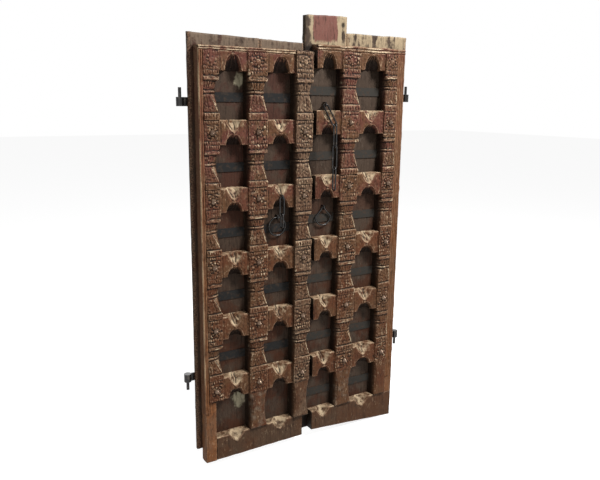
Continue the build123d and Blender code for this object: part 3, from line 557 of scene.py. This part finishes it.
# rails: a section (underside, front, ledge) carried along x; the front is cut back by scoops, arches from
# below and pointed funnels from above, whose floor runs from the tip on the front face to the rear at the
# rail's edge
scoopOutline = {"shoulder": 29 * mm, "upper": 54 * mm, "sill": 42 * mm, "lower": 46 * mm, "top": 70 * mm,
                "funnel": (1.6, 0.9), "arch": (2.8, 0.7), "wallSlope": 3.0, "margin": 3 * mm, "leave": 2 * mm}


# outline: height times (1 - across^bend)^point, with a bend and a point for funnels and for arches; the depth
# grows with the distance inside it, along z and along x; the height is negative for an arch in the lower
# edge; also gives the distance from the outline, negative outside
def scoopDepth(x, z, middle, halfWidth, edge, height):
    bend, point = scoopOutline["funnel" if height > 0 else "arch"]
    across = np.abs(x - middle) / halfWidth
    reach = np.clip(1 - across ** bend, 0, 1) ** point
    inside = (z - edge + height * reach) * np.sign(height) - scoopOutline["margin"] * (across > 1)
    share = np.clip((edge - z) / height, 0, 1)
    side = halfWidth * ((1 - share ** (1 / point)) ** (1 / bend) - across)
    depth = np.minimum(gridDepth * inside / abs(height), scoopOutline["wallSlope"] * side)
    away = np.sign(inside) * np.abs(inside * side) / (np.hypot(inside, side) + 1e-9)
    away = np.where((edge - z) / height > 1, -np.hypot(x - middle, z - edge + height), away)
    return np.clip(depth, 0, gridDepth - scoopOutline["leave"]), away


def cellScoops(x0, x1, edges):  # one scoop in the middle of a cell for each edge and height
    return [((x0 + x1) / 2, (x1 - x0) / 2 - scoopOutline["shoulder"], edge, height) for edge, height in edges]


# heights of ribs, knobs and cuts in mm; fine, broad and ribBend are the height and the size of waves
railCarving = {"xCount": 64, "zCount": 52, "edgeCount": 8, "endGap": 0.4 * mm, "edgeRound": 4 * mm,
               "uneven": 1.0, "fine": (0.8 * mm, 20 * mm), "broad": (1.1 * mm, 70 * mm), "smoothRear": 6 * mm,
               "rib": 2.2, "ribs": 17, "ribBend": (2.4, 40 * mm), "ribFade": 9 * mm, "fanStart": 16 * mm,
               "knob": 4.5, "knobPlace": 0.95, "knobSlope": (10 * mm, 5 * mm), "groove": 1.6,
               "groovePlace": -5 * mm, "grooveWidth": 1.8 * mm, "grooveReach": 1.25, "rimCut": 1.5,
               "rimPlace": 7 * mm, "rimWidth": 1.6 * mm}
railPaintedLightAndDust = {"archShade": 0.9, "archShadeBorder": (0.1, 0.5), "arris": 0.55, "arrisWidth": 3 * mm, "funnel": 0.42,
            "funnelBorder": (-2 * mm, 4 * mm), "funnelLessShade": 0.3, "patchy": (0.12, 50 * mm)}


# ribs that fan out from a point beyond the tip, a knob at the tip, and a groove round the outline
def scoopCarving(place, away, scoop, seed, cfg):
    middle, halfWidth, edge, height = scoop
    x, z = place[..., 0] - middle, place[..., 2]
    fan = np.arctan2(x, np.abs(edge - height - z) + cfg["fanStart"])
    ribs = np.cos(cfg["ribs"] * fan + waves(place, seed + 3, *cfg["ribBend"]))
    knob = ease(*cfg["knobSlope"], np.hypot(x, z - (edge - height * cfg["knobPlace"])))
    groove = bump(cfg["groovePlace"], cfg["grooveWidth"], away) * (np.abs(x) < halfWidth * cfg["grooveReach"])
    return cfg["rib"] * ribs * ease(0, cfg["ribFade"], away) + cfg["knob"] * knob - cfg["groove"] * groove


def railBlock(x0, x1, z0, z1, scoops, seed, cfg=railCarving, rise=0):  # rise lifts the lower edge at x0
    x = np.linspace(x0 + cfg["endGap"], x1 - cfg["endGap"], cfg["xCount"] - 2)
    x = np.concatenate([[x0], x, [x1]])[:, None]
    low, high = z0 + rise * (x1 - x) / (x1 - x0), z1 + 0 * x
    z = low + (high - low) * np.linspace(0, 1, cfg["zCount"])
    x = x + 0 * z
    place = np.stack([x, 0 * x, z], -1)
    depth, carved, archShade, dusty = np.zeros((4, *z.shape))
    for scoop in scoops:
        cutBack, away = scoopDepth(x, z, *scoop)
        depth = np.maximum(depth, cutBack)
        carved += scoopCarving(place, away, scoop, seed, cfg)
        if scoop[-1] < 0:  # painted shade makes the arches black inside; funnels are full of dust
            archShade = np.maximum(archShade, railPaintedLightAndDust["archShade"] * ease(*railPaintedLightAndDust["archShadeBorder"], cutBack / gridDepth))
        else:
            dusty = np.maximum(dusty, ease(*railPaintedLightAndDust["funnelBorder"], away))
    rim = bump(cfg["rimPlace"], cfg["rimWidth"], np.minimum(x - x0, x1 - x))
    carved -= cfg["rimCut"] * rim * (depth < mm)
    rough = cfg["uneven"] * waves(place, seed, *cfg["fine"]) + waves(place, seed + 1, *cfg["broad"])
    rounding = rounded(np.minimum(z - low, high - z), cfg["edgeRound"])
    y = faceY + np.minimum(depth + rounding, gridDepth - scoopOutline["leave"]) - carved * mm
    y += rough * ease(0, cfg["smoothRear"], gridDepth - depth)
    steps = np.linspace(0, 1, cfg["edgeCount"], endpoint=False)
    blank = np.zeros((len(x), len(steps)))
    under = np.stack([x[:, :1] + blank, plankY + (y[:, :1] - plankY) * steps, low + blank], -1)
    ledge = np.stack([x[:, :1] + blank, plankY + (y[:, -1:] - plankY) * steps[::-1], high + blank], -1)
    block = island(np.concatenate([under, np.stack([x, y, z], -1), ledge], 1))
    margins = ((0, 0), (len(steps), len(steps)))
    # a pale top arris, rubbing and a painted highlight; dust in the funnels
    arris = railPaintedLightAndDust["arris"] * bump(0, railPaintedLightAndDust["arrisWidth"], high - z)
    pale = np.maximum(arris, railPaintedLightAndDust["funnel"] * dusty) + waves(place, seed + 4, *railPaintedLightAndDust["patchy"])
    block["stainAndHighlight"] = np.pad(np.clip(pale, 0, 1), margins).ravel()
    extraShade = np.pad(archShade, margins, mode="edge")
    extraShade[[0, -1]] = 1  # painted shade at the two ends, where the block meets its neighbours
    # painted shade in hollows, less of it in the dusty funnels
    hollows = cfg["uneven"] * (1 - railPaintedLightAndDust["funnelLessShade"] * np.pad(dusty, margins, mode="edge"))
    block["paintedShade"] = np.maximum(hollows.ravel() * block["paintedShade"], extraShade.ravel())
    return block


for side, leaf in leaves.items():
    for count, (rail, (low, high)) in enumerate(zip(leaf["rails"], leaf["railSpans"])):
        blocks = []
        for cell, (x0, x1) in enumerate(leaf["cells"]):
            scoops = cellScoops(x0, x1, [(high, scoopOutline["upper"]), (low, -scoopOutline["lower"])])
            blocks.append(railBlock(x0, x1, low, high, scoops, 100 + 20 * count + 7 * cell + leaf["seed"]))
        buildPiece(rail + "_carved", blocks, side + "_leaf", looks["carved"], [rail])

# bottom rails: the same section with scoops in the ledge only and softer carving
# the lower edge rises towards the inner end of the right leaf, where it is worn away
sillCarving = {**railCarving, "xCount": 150, "zCount": 60, "uneven": 0.25, "rib": 0.9625}
sills = {"left": {"innerRise": 0, "seed": 300}, "right": {"innerRise": 45 * mm, "seed": 320}}
for side, cfg in sills.items():
    node = side + "_bottom_rail"
    x0, x1 = span(node, 0)
    low, high = span(node, 2)
    scoops = []
    for cellX0, cellX1 in leaves[side]["cells"]:
        scoops += cellScoops(max(cellX0, x0), cellX1, [(high, scoopOutline["sill"])])
    beam = railBlock(x0, x1, low, high, scoops, cfg["seed"], sillCarving, cfg["innerRise"])
    buildPiece(node + "_carved", [beam], side + "_leaf", looks["sill"], [node])

# top rails: arches in the lower edge, under a moulding of two beads swept along x
moulding = {"beads": 2, "rise": 4 * mm, "roundness": 0.6, "xCount": 150, "zCount": 19,
            "broad": (1.2 * mm, 50 * mm), "fine": (0.8 * mm, 15 * mm), "lift": (1.4 * mm, 90 * mm),
            "crest": (0.7, 1), "pale": 0.8, "patchy": (0.4, 80 * mm)}


def mouldingStrip(x0, x1, z0, z1, seed):  # front: the beads are half waves of a sine up the height
    cfg = moulding
    lift = np.linspace(0, 1, cfg["zCount"])[None]
    z = z0 + (z1 - z0) * lift + np.zeros((cfg["xCount"], 1))
    x = np.linspace(x0, x1, cfg["xCount"])[:, None] + 0 * z
    bead = cfg["rise"] * np.abs(np.sin(cfg["beads"] * np.pi * lift)) ** cfg["roundness"]
    place = np.stack([x, 0 * z, z], -1)
    y = faceY - bead + waves(place, 360 + seed, *cfg["broad"]) + waves(place, 361, *cfg["fine"])
    z = z + waves(place, 362, *cfg["lift"]) * lift
    back = np.stack([x[:, :2], np.full((len(x), 2), plankY), z[:, [-1, 0]]], -1)
    strip = island(np.concatenate([np.stack([x, y, z], -1), back], 1))
    crest = ease(*cfg["crest"], bead / cfg["rise"]) * (0.55 + waves(place, 364, *cfg["patchy"]))
    strip["stainAndHighlight"] = np.clip(cfg["pale"] * np.pad(crest, ((0, 0), (0, 2))), 0, 1).ravel()
    return strip


for side, leaf in leaves.items():
    node = side + "_top_rail"
    lintel, cap = leaf["lintel"], span(side + "_middle_pilaster", 2)[1]
    parts = []
    for cell, (x0, x1) in enumerate(leaf["cells"]):
        scoops = cellScoops(x0, x1, [(lintel, -scoopOutline["top"])])
        parts.append(railBlock(x0, x1, lintel, cap, scoops, 340 + 9 * cell + leaf["seed"]))
    parts.append(mouldingStrip(*span(node, 0), cap, span(node, 2)[1], leaf["seed"]))
    buildPiece(node + "_carved", parts, side + "_leaf", looks["carved"], [node])
print("rails carved")


# boards: a rectangle with softened, uneven corners carried up to a sloping, ragged top; also plain feet
boardShape = {"sideCount": 4, "rearCount": 14, "soft": 2.5 * mm, "softWaves": (0.5, 60 * mm),
              "raggedSize": 50 * mm, "waneX": 0.5 * mm, "waneY": 0.4 * mm, "waneSize": 90 * mm,
              "grainStretch": (6, 1, 0.5)}


def boardRing(frontCount):  # shares across and back of the points round a board: front, side, rear, side
    u = np.linspace(0, 1, frontCount)
    v = np.linspace(0, 1, boardShape["sideCount"] + 2)[1:-1]
    rearU = (1 + np.cos(np.linspace(0, np.pi, boardShape["rearCount"]))) / 2  # close together at the corners
    return np.stack([np.concatenate([u, 1 + 0 * v, rearU, 0 * v]),
                     np.concatenate([0 * u, v, 1 + 0 * rearU, v[::-1]])], 1)


def board(x0, x1, y0, y1, z0, top0, top1, seed, rowCount, frontCount, ragged):
    cfg = boardShape
    ring = boardRing(frontCount)
    x, y = x0 + (x1 - x0) * ring[:, 0], y0 + (y1 - y0) * ring[:, 1]
    place = np.stack([x, y, 0 * x], -1)
    top = top0 + (top1 - top0) * ring[:, 0] + waves(place, seed, ragged, cfg["raggedSize"])
    base = z0 + waves(place, seed + 5, ragged / 2, cfg["raggedSize"])
    z = base + (top - base) * np.linspace(0, 1, rowCount)[:, None]
    grid = np.stack([x + 0 * z, y + 0 * z, z], -1)
    outer = np.sign(ring - 0.5) * (np.abs(ring - 0.5) > 0.499)  # which way a point's sides face
    corner = np.abs(outer).sum(1) == 2
    soft = corner * cfg["soft"] * (0.8 + waves(grid, seed + 1, *cfg["softWaves"]))
    grid[..., 0] -= outer[:, 0] * (soft + cfg["waneX"] * (1 + wobble(grid, seed + 2, cfg["waneSize"])))
    wane = wobble(grid * cfg["grainStretch"], seed + 3, cfg["waneSize"])  # drawn out along the grain
    grid[..., 1] -= outer[:, 1] * (soft + cfg["waneY"] * (1 + wane))
    return island(grid, radius=2)


# weathering of the planks: a bleached strip above the moulding with drips; pale spots by x, z, width and
# height; the block on the right keeps its paint between bare sides; painted shade darkens the right leaf's
# inner plank along its left edge, in the slot between the leaves, and a dark nail hole is painted
plankWeather = {"left": {"bleachAndHighlight": 0.57, "drip": 0.28}, "right": {"bleachAndHighlight": 0.58, "drip": 0.4},
                "border": (-12 * mm, 6 * mm), "dripStretch": (1, 1, 0.12), "dripSize": 26 * mm,
                "clouds": (0.5, 90 * mm)}
plankSpots = {"left_outer_plank": [(-0.352, 1.80, 0.03, 0.04), (-0.368, 0.30, 0.042, 0.06)]}
blockPaint = {"node": "right_inner_plank", "sides": (0.14, 0.26, 0.64, 0.86), "lowEnd": 150 * mm,
              "full": 90 * mm, "seam": (0.2, 0.13), "seamTop": (4 * mm, -20 * mm), "edge": (0.09, 0.04),
              "nail": (0.9, 0.04), "nailDrop": 40 * mm, "nailHole": 12 * mm, "shade": 0.18,
              "shadeSide": (0.5, 0.1)}


def plankShares(node, points):
    x, z = points[:, 0], points[:, 2]
    side = node.split("_")[0]
    x0, x1 = span(node, 0)
    edge = span(side + "_top_rail", 2)[1]
    drips = wobble(points * plankWeather["dripStretch"], 700, plankWeather["dripSize"])
    drips += waves(points, 701, *plankWeather["clouds"])
    strip = plankWeather[side]["bleachAndHighlight"] + plankWeather[side]["drip"] * drips
    bleachAndHighlight = ease(*plankWeather["border"], z - edge) * strip
    stainAndHighlight, extraShade = 0 * x, 0 * x
    for spotX, spotZ, wide, high in plankSpots.get(node, []):
        stainAndHighlight = np.maximum(stainAndHighlight, (0.75 + 0.3 * drips) * bump(spotX, wide, x) * bump(spotZ, high, z))
    if node == blockPaint["node"]:
        cfg = blockPaint
        share = (x - x0) / (x1 - x0)
        top = span(node, 2)[1]
        painted = between(cfg["sides"], share) * ease(top - cfg["lowEnd"], top - cfg["full"], z)
        stainAndHighlight = (0.85 + 0.2 * drips) * painted
        # painted shade in the slot between the leaves and along the plank's left edge; a painted dark nail
        # hole
        extraShade = ease(*cfg["seam"], share) * ease(*cfg["seamTop"], z - edge)
        extraShade = np.maximum(extraShade, 0.8 * ease(*cfg["edge"], share) * (0.6 + 0.4 * drips))
        nailHole = bump(*cfg["nail"], share) * bump(top - cfg["nailDrop"], cfg["nailHole"], z)
        extraShade = np.maximum(extraShade, nailHole)
        bleachAndHighlight = bleachAndHighlight - cfg["shade"] * ease(*cfg["shadeSide"], share)
    front = points[:, 1] < (plankY + rearY) / 2
    return bleachAndHighlight * front, stainAndHighlight * front, extraShade * front


plankMesh = {"rowCount": 260, "frontCount": 44, "ragged": 2 * mm}
planks = {
    "left_outer_plank": {"look": "panel", "slot": "plank_wood"},
    "left_inner_plank": {"look": "panel", "slot": "plank_wood"},
    "right_inner_plank": {"look": "rightPanel", "slot": "block_wood"},
    "right_outer_plank": {"look": "rightPanel", "slot": "plank_wood"},
}
for number, (node, cfg) in enumerate(planks.items()):
    x0, x1 = span(node, 0)
    body = node.split("_")[0] + "_leaf"
    slab = board(x0, x1, plankY, rearY, span(node, 2)[0], edgeTop(node, x0), edgeTop(node, x1),
                 400 + 10 * number, **plankMesh)
    slab["bleachAndHighlight"], slab["stainAndHighlight"], extraShade = plankShares(node, slab["points"])
    slab["paintedShade"] = np.maximum(slab["paintedShade"], extraShade)
    buildPiece(node + "_weathered", [slab], body, looks[cfg["look"]], [node])

# edge stiles: reeds across the front, carried up, over plain feet; the outer arris is pale, rubbed and with a
# painted highlight
reeds = {"height": 4 * mm, "roundness": 0.7, "rowCount": 260, "columns": 14, "sideCount": 5,
         "swell": (0.3, 200 * mm), "rough": (0.8 * mm, 40 * mm), "patchy": (0.35, 120 * mm), "sideShade": 0.3,
         "stainFall": (1.5, 0.5)}
stiles = {
    "left_edge_stile": {
        "reeds": 2, "footTop": 278 * mm, "footWidth": 57 * mm, "reedWidth": 20 * mm, "arris": 0, "rubAndHighlight": 0.2,
        "stainAndHighlight": 0.36, "foot": {"seed": 470, "rowCount": 60, "frontCount": 18, "ragged": mm},
        "post": {"seed": 480, "rowCount": 24, "frontCount": 14, "ragged": 0.3 * mm}},
    "right_edge_stile": {
        "reeds": 4, "footTop": 235 * mm, "footWidth": 44 * mm, "reedWidth": 44 * mm, "arris": 1, "rubAndHighlight": 0.03,
        "stainAndHighlight": 0.0, "foot": {"seed": 490, "rowCount": 24, "frontCount": 18, "ragged": 0.3 * mm}},
}


def reedStrip(x0, x1, z0, z1, cfg, seed):  # the reeds are half waves of a sine across the front
    u = np.linspace(0, 1, reeds["columns"] * cfg["reeds"] + 1)[None]
    z = np.linspace(z0, z1, reeds["rowCount"])[:, None] + 0 * u
    x = x0 + (x1 - x0) * u + 0 * z
    place = np.stack([x, 0 * x, z], -1)
    reed = reeds["height"] * np.abs(np.sin(cfg["reeds"] * np.pi * u)) ** reeds["roundness"]
    y = faceY - reed * (0.8 + waves(place, 450 + seed, *reeds["swell"]))
    y += waves(place, 452 + seed, *reeds["rough"])
    back = np.linspace(0, 1, reeds["sideCount"] + 1)[1:]
    blank = np.zeros((len(z), len(back)))
    rightSide = np.stack([x1 + blank, y[:, -1:] + (plankY - y[:, -1:]) * back, z[:, :1] + blank], -1)
    leftSide = np.stack([x0 + blank, y[:, :1] + (plankY - y[:, :1]) * back[::-1], z[:, :1] + blank], -1)
    strip = island(np.concatenate([np.stack([x, y, z], -1), rightSide, leftSide], 1))
    # pale outer arris: rubbing and a painted highlight
    rubbed = bump(cfg["arris"], cfg["rubAndHighlight"], u) * (0.75 + waves(place, 456 + seed, *reeds["patchy"]))
    strip["bleachAndHighlight"] = np.clip(np.pad(rubbed, ((0, 0), (0, 2 * len(back)))), 0, 1).ravel()
    # painted shade on the side faces
    extraShade = np.zeros((len(z), u.shape[1] + 2 * len(back)))
    extraShade[:, u.shape[1] + 1:] = reeds["sideShade"]
    strip["paintedShade"] = np.maximum(strip["paintedShade"], extraShade.ravel())
    return strip


for number, (node, cfg) in enumerate(stiles.items()):
    side = node.split("_")[0]
    x0 = span(node, 0)[0]
    z0, z1 = span(node, 2)
    reedX1, footX1, footTop = x0 + cfg["reedWidth"], x0 + cfg["footWidth"], cfg["footTop"]
    parts = [reedStrip(x0, reedX1, footTop, z1, cfg, number)]
    parts.append(board(x0, footX1, faceY, plankY, z0, footTop, footTop, **cfg["foot"]))
    if "post" in cfg:  # beside the reeds, up to the first rail
        postTop = leaves[side]["bays"][0][1]
        parts.append(board(reedX1, footX1, faceY, plankY, footTop, postTop, postTop, **cfg["post"]))
    for part in parts:
        part["stainAndHighlight"] = cfg["stainAndHighlight"] * ease(*reeds["stainFall"], part["points"][:, 2])
    buildPiece(node + "_reeded", parts, side + "_leaf", looks["stile"], [node])
print("boards and stiles done")


# chain links and rings: a round bar swept along a long loop, a little uneven from the hammer
ironwork = {"bar": 8 * mm, "ringSize": 96 * mm, "linkWidth": 30 * mm, "longWidth": 34 * mm, "lean": 47,
            "pathCount": 72, "barCount": 14, "barSize": 0.97, "hammered": (0.05, 30 * mm)}


# points (across, down) of a loop whose upper bar is at 0, 0: half circle, straight, half circle, straight
def loopPath(width, length):
    radius = width / 2
    straight = length - width
    arc = np.pi * radius
    s = np.linspace(0, 2 * arc + 2 * straight, ironwork["pathCount"], endpoint=False)
    upper, lower = s / radius, (s - arc - straight) / radius
    parts = [s < arc, s < arc + straight, s < 2 * arc + straight]
    across = np.select(parts, [-radius * np.cos(upper), radius + 0 * s, radius * np.cos(lower)], -radius)
    down = np.select(parts, [radius * np.sin(upper), arc - s, -straight - radius * np.sin(lower)],
                     s - 2 * arc - 2 * straight)
    return across, down - radius


def forgedLoop(origin, acrossWay, downWay, width, length, pinch, seed):  # pinch narrows the upper half
    across, down = loopPath(width - ironwork["bar"], length - ironwork["bar"])
    across = across * (1 - pinch * ease(-0.55, -0.05, down / length))
    acrossWay, downWay = np.array(acrossWay, float), np.array(downWay, float)
    facing = np.cross(acrossWay, downWay)
    centre = np.array(origin) + across[:, None] * acrossWay - down[:, None] * downWay
    ahead = np.roll(centre, -1, 0) - np.roll(centre, 1, 0)
    ahead /= np.linalg.norm(ahead, axis=1, keepdims=True)
    outward = np.cross(ahead, facing)[:, None]
    turn = np.linspace(0, 2 * np.pi, ironwork["barCount"], endpoint=False)[None, :, None]
    thickness = ironwork["barSize"] + waves(centre, seed, *ironwork["hammered"])
    ring = np.cos(turn) * outward + np.sin(turn) * facing
    grid = centre[:, None] + ironwork["bar"] / 2 * thickness[:, None, None] * ring
    return island(np.concatenate([grid, grid[:1]], 0), capped=False)


jointPlace = {joint["child"]: np.array(joint["pos_m"]) for joint in frame["joints"]}
loops = {
    "left_pull_ring": {"size": (ironwork["ringSize"], ironwork["ringSize"]), "edgeOn": False},
    "right_pull_ring": {"size": (ironwork["ringSize"], ironwork["ringSize"]), "edgeOn": False, "pinch": 0.62},
    "left_chain_link_1": {"size": (ironwork["linkWidth"], 95 * mm), "edgeOn": False},
    "left_chain_link_2": {"size": (ironwork["linkWidth"], 75 * mm), "edgeOn": True},
    "right_chain_link_1": {"size": (ironwork["longWidth"], 140 * mm), "lean": True},
    "right_chain_link_2": {"size": (ironwork["linkWidth"], 118 * mm), "edgeOn": True},
    "right_chain_link_3": {"size": (ironwork["linkWidth"], 118 * mm), "edgeOn": False},
    "right_chain_link_4": {"size": (ironwork["linkWidth"], 118 * mm), "edgeOn": True},
}
for number, (node, cfg) in enumerate(loops.items()):
    width, length = cfg["size"]
    if cfg.get("lean"):
        lean = np.radians(ironwork["lean"])
        origin, across, down = jointPlace[node], (1, 0, 0), (0, -np.cos(lean), -np.sin(lean))
    else:
        origin = np.mean(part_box(node), axis=0) + [0, 0, (length - ironwork["bar"]) / 2]
        across, down = ((0, 1, 0) if cfg["edgeOn"] else (1, 0, 0)), (0, 0, -1)
    loop = forgedLoop(origin, across, down, width, length, cfg.get("pinch", 0), 600 + number)
    buildPiece(node + "_forged", [loop], node, irons["forgedIron"], [node])

# boss nails: a low cone with a rounded tip turned about y, from its seat in the block to its tip
bosses = {"radius": 13 * mm, "height": 15 * mm, "stand": 4 * mm, "uneven": 0.05, "turnCount": 16,
          "widths": (1.0, 0.98, 0.8, 0.55, 0.32, 0.14, 0.02),
          "rises": (-0.1, 0.08, 0.3, 0.58, 0.82, 0.96, 1.0)}


def bossSkin(x, y, z, seed):
    turn = np.linspace(0, 2 * np.pi, bosses["turnCount"], endpoint=False)
    widths, rises = np.array(bosses["widths"])[:, None], np.array(bosses["rises"])[:, None]
    radius = bosses["radius"] * widths * (1 + bosses["uneven"] * np.cos(turn * 4 + seed))
    depth = y - bosses["height"] * rises + 0 * turn
    return island(np.stack([x + radius * np.cos(turn), depth, z + radius * np.sin(turn)], -1), radius=1)


for side, leaf in leaves.items():
    heads = []
    for node, cfg in pilasters.items():
        if cfg["side"] == side:
            x, y = sum(span(node, 0)) / 2, faceY - cfg["proud"] - bosses["stand"]
            heads += [bossSkin(x, y, z, number) for number, z in enumerate(leaf["blocks"])]
    buildPiece(side + "_boss_heads", heads, side + "_leaf", irons["bossIron"],
               [side + "_boss_nails"])
print("iron forged")

# CAD nodes that stay as they are take the finishes of their kind
for name, node in nodes.items():
    finish = irons["forgedIron"]
    if "batten_" in name and "nails" not in name:
        finish = looks["batten"]
    if "bands" in name:
        finish = irons["bandIron" if name.startswith("left") else "paintedBand"]
    for slot in node.material_slots:
        slot.material = finish

# stage: pale floor, white surroundings, soft light from the upper right front
stage = {"floorHalf": 30.0, "floorColour": (0.5, 0.5, 0.5, 1), "floorRoughness": 0.95, "floorGlow": 0.84,
         "skyLight": 0.21, "backdrop": 1.0, "aim": (0, 0, 1.0)}


def seenRays(tree):  # 1 for rays that show the background, 0 for the rays that light the door
    rays = tree.nodes.new("ShaderNodeLightPath")
    total = rays.outputs["Is Camera Ray"]
    for key in ("Is Glossy Ray", "Is Transmission Ray"):
        total = joined(tree, "MAXIMUM", total, rays.outputs[key])
    return total


floorMesh = bpy.data.meshes.new("floor")
half = stage["floorHalf"]
floorCorners = [(-half, -half, 0), (half, -half, 0), (half, half, 0), (-half, half, 0)]
floorMesh.from_pydata(floorCorners, [], [(0, 1, 2, 3)])
floor = bpy.data.objects.new("floor", floorMesh)
bpy.context.scene.collection.objects.link(floor)
floorLook, tree = newMaterial("paleFloor")
floorShader = tree.nodes["Principled BSDF"]
floorShader.inputs["Base Color"].default_value = stage["floorColour"]
floorShader.inputs["Roughness"].default_value = stage["floorRoughness"]
floorShader.inputs["Specular IOR Level"].default_value = 0.0
floorShader.inputs["Emission Color"].default_value = (1, 1, 1, 1)
tree.links.new(product(tree, seenRays(tree), stage["floorGlow"]), floorShader.inputs["Emission Strength"])
floorMesh.materials.append(floorLook)

world = bpy.data.worlds.new("studio")
bpy.context.scene.world = world
world.use_nodes = True
tree = world.node_tree
sky = tree.nodes["Background"]
backdrop = tree.nodes.new("ShaderNodeBackground")
for node, key in ((sky, "skyLight"), (backdrop, "backdrop")):
    node.inputs["Color"].default_value = (1, 1, 1, 1)
    node.inputs["Strength"].default_value = stage[key]
choose = tree.nodes.new("ShaderNodeMixShader")
tree.links.new(seenRays(tree), choose.inputs["Fac"])
tree.links.new(sky.outputs["Background"], choose.inputs[1])
tree.links.new(backdrop.outputs["Background"], choose.inputs[2])
tree.links.new(choose.outputs["Shader"], tree.nodes["World Output"].inputs["Surface"])

lamps = {
    "keyLight": {"place": (1.6, -2.5, 4.4), "power": 330, "size": 1.1},
    "fillLight": {"place": (-2.9, -2.8, 2.2), "power": 26, "size": 3.0},
    "rearLight": {"place": (1.2, 3.8, 3.0), "power": 60, "size": 3.0},
}
for name, cfg in lamps.items():
    data = bpy.data.lights.new(name, "AREA")
    data.energy = cfg["power"]
    data.size = cfg["size"]
    lamp = bpy.data.objects.new(name, data)
    lamp.location = cfg["place"]
    lamp.rotation_euler = (Vector(stage["aim"]) - Vector(cfg["place"])).to_track_quat("-Z", "Y").to_euler()
    bpy.context.scene.collection.objects.link(lamp)

# camera where the photo was taken: yaw to the right and pitch downwards, then roll about the view, in degrees
cameraView = {"fromSeam": -1.5623, "beforeFace": 2.5052, "height": 1.7027, "yaw": 31.291, "pitch": 12.312,
              "roll": 0.679, "lens": 37.64, "sensor": 36}
yaw, pitch, roll = (np.radians(cameraView[key]) for key in ("yaw", "pitch", "roll"))
level = Vector((np.sin(yaw), np.cos(yaw), 0))
rightward = Vector((np.cos(yaw), -np.sin(yaw), 0))
upward = Vector((0, 0, 1))
ahead = level * np.cos(pitch) - upward * np.sin(pitch)
above = upward * np.cos(pitch) + level * np.sin(pitch)
beside = rightward * np.cos(roll) + above * np.sin(roll)
above = above * np.cos(roll) - rightward * np.sin(roll)
cameraData = bpy.data.cameras.new("camera")
cameraData.lens = cameraView["lens"]
cameraData.sensor_fit = "HORIZONTAL"
cameraData.sensor_width = cameraView["sensor"]
camera = bpy.data.objects.new("camera", cameraData)
turned = Matrix((beside, above, -ahead)).transposed().to_4x4()
turned.translation = (seamX + cameraView["fromSeam"], faceY - cameraView["beforeFace"], cameraView["height"])
camera.matrix_world = turned
bpy.context.scene.collection.objects.link(camera)
bpy.context.scene.camera = camera
bpy.context.scene.view_settings.view_transform = "Standard"
print("stage set")
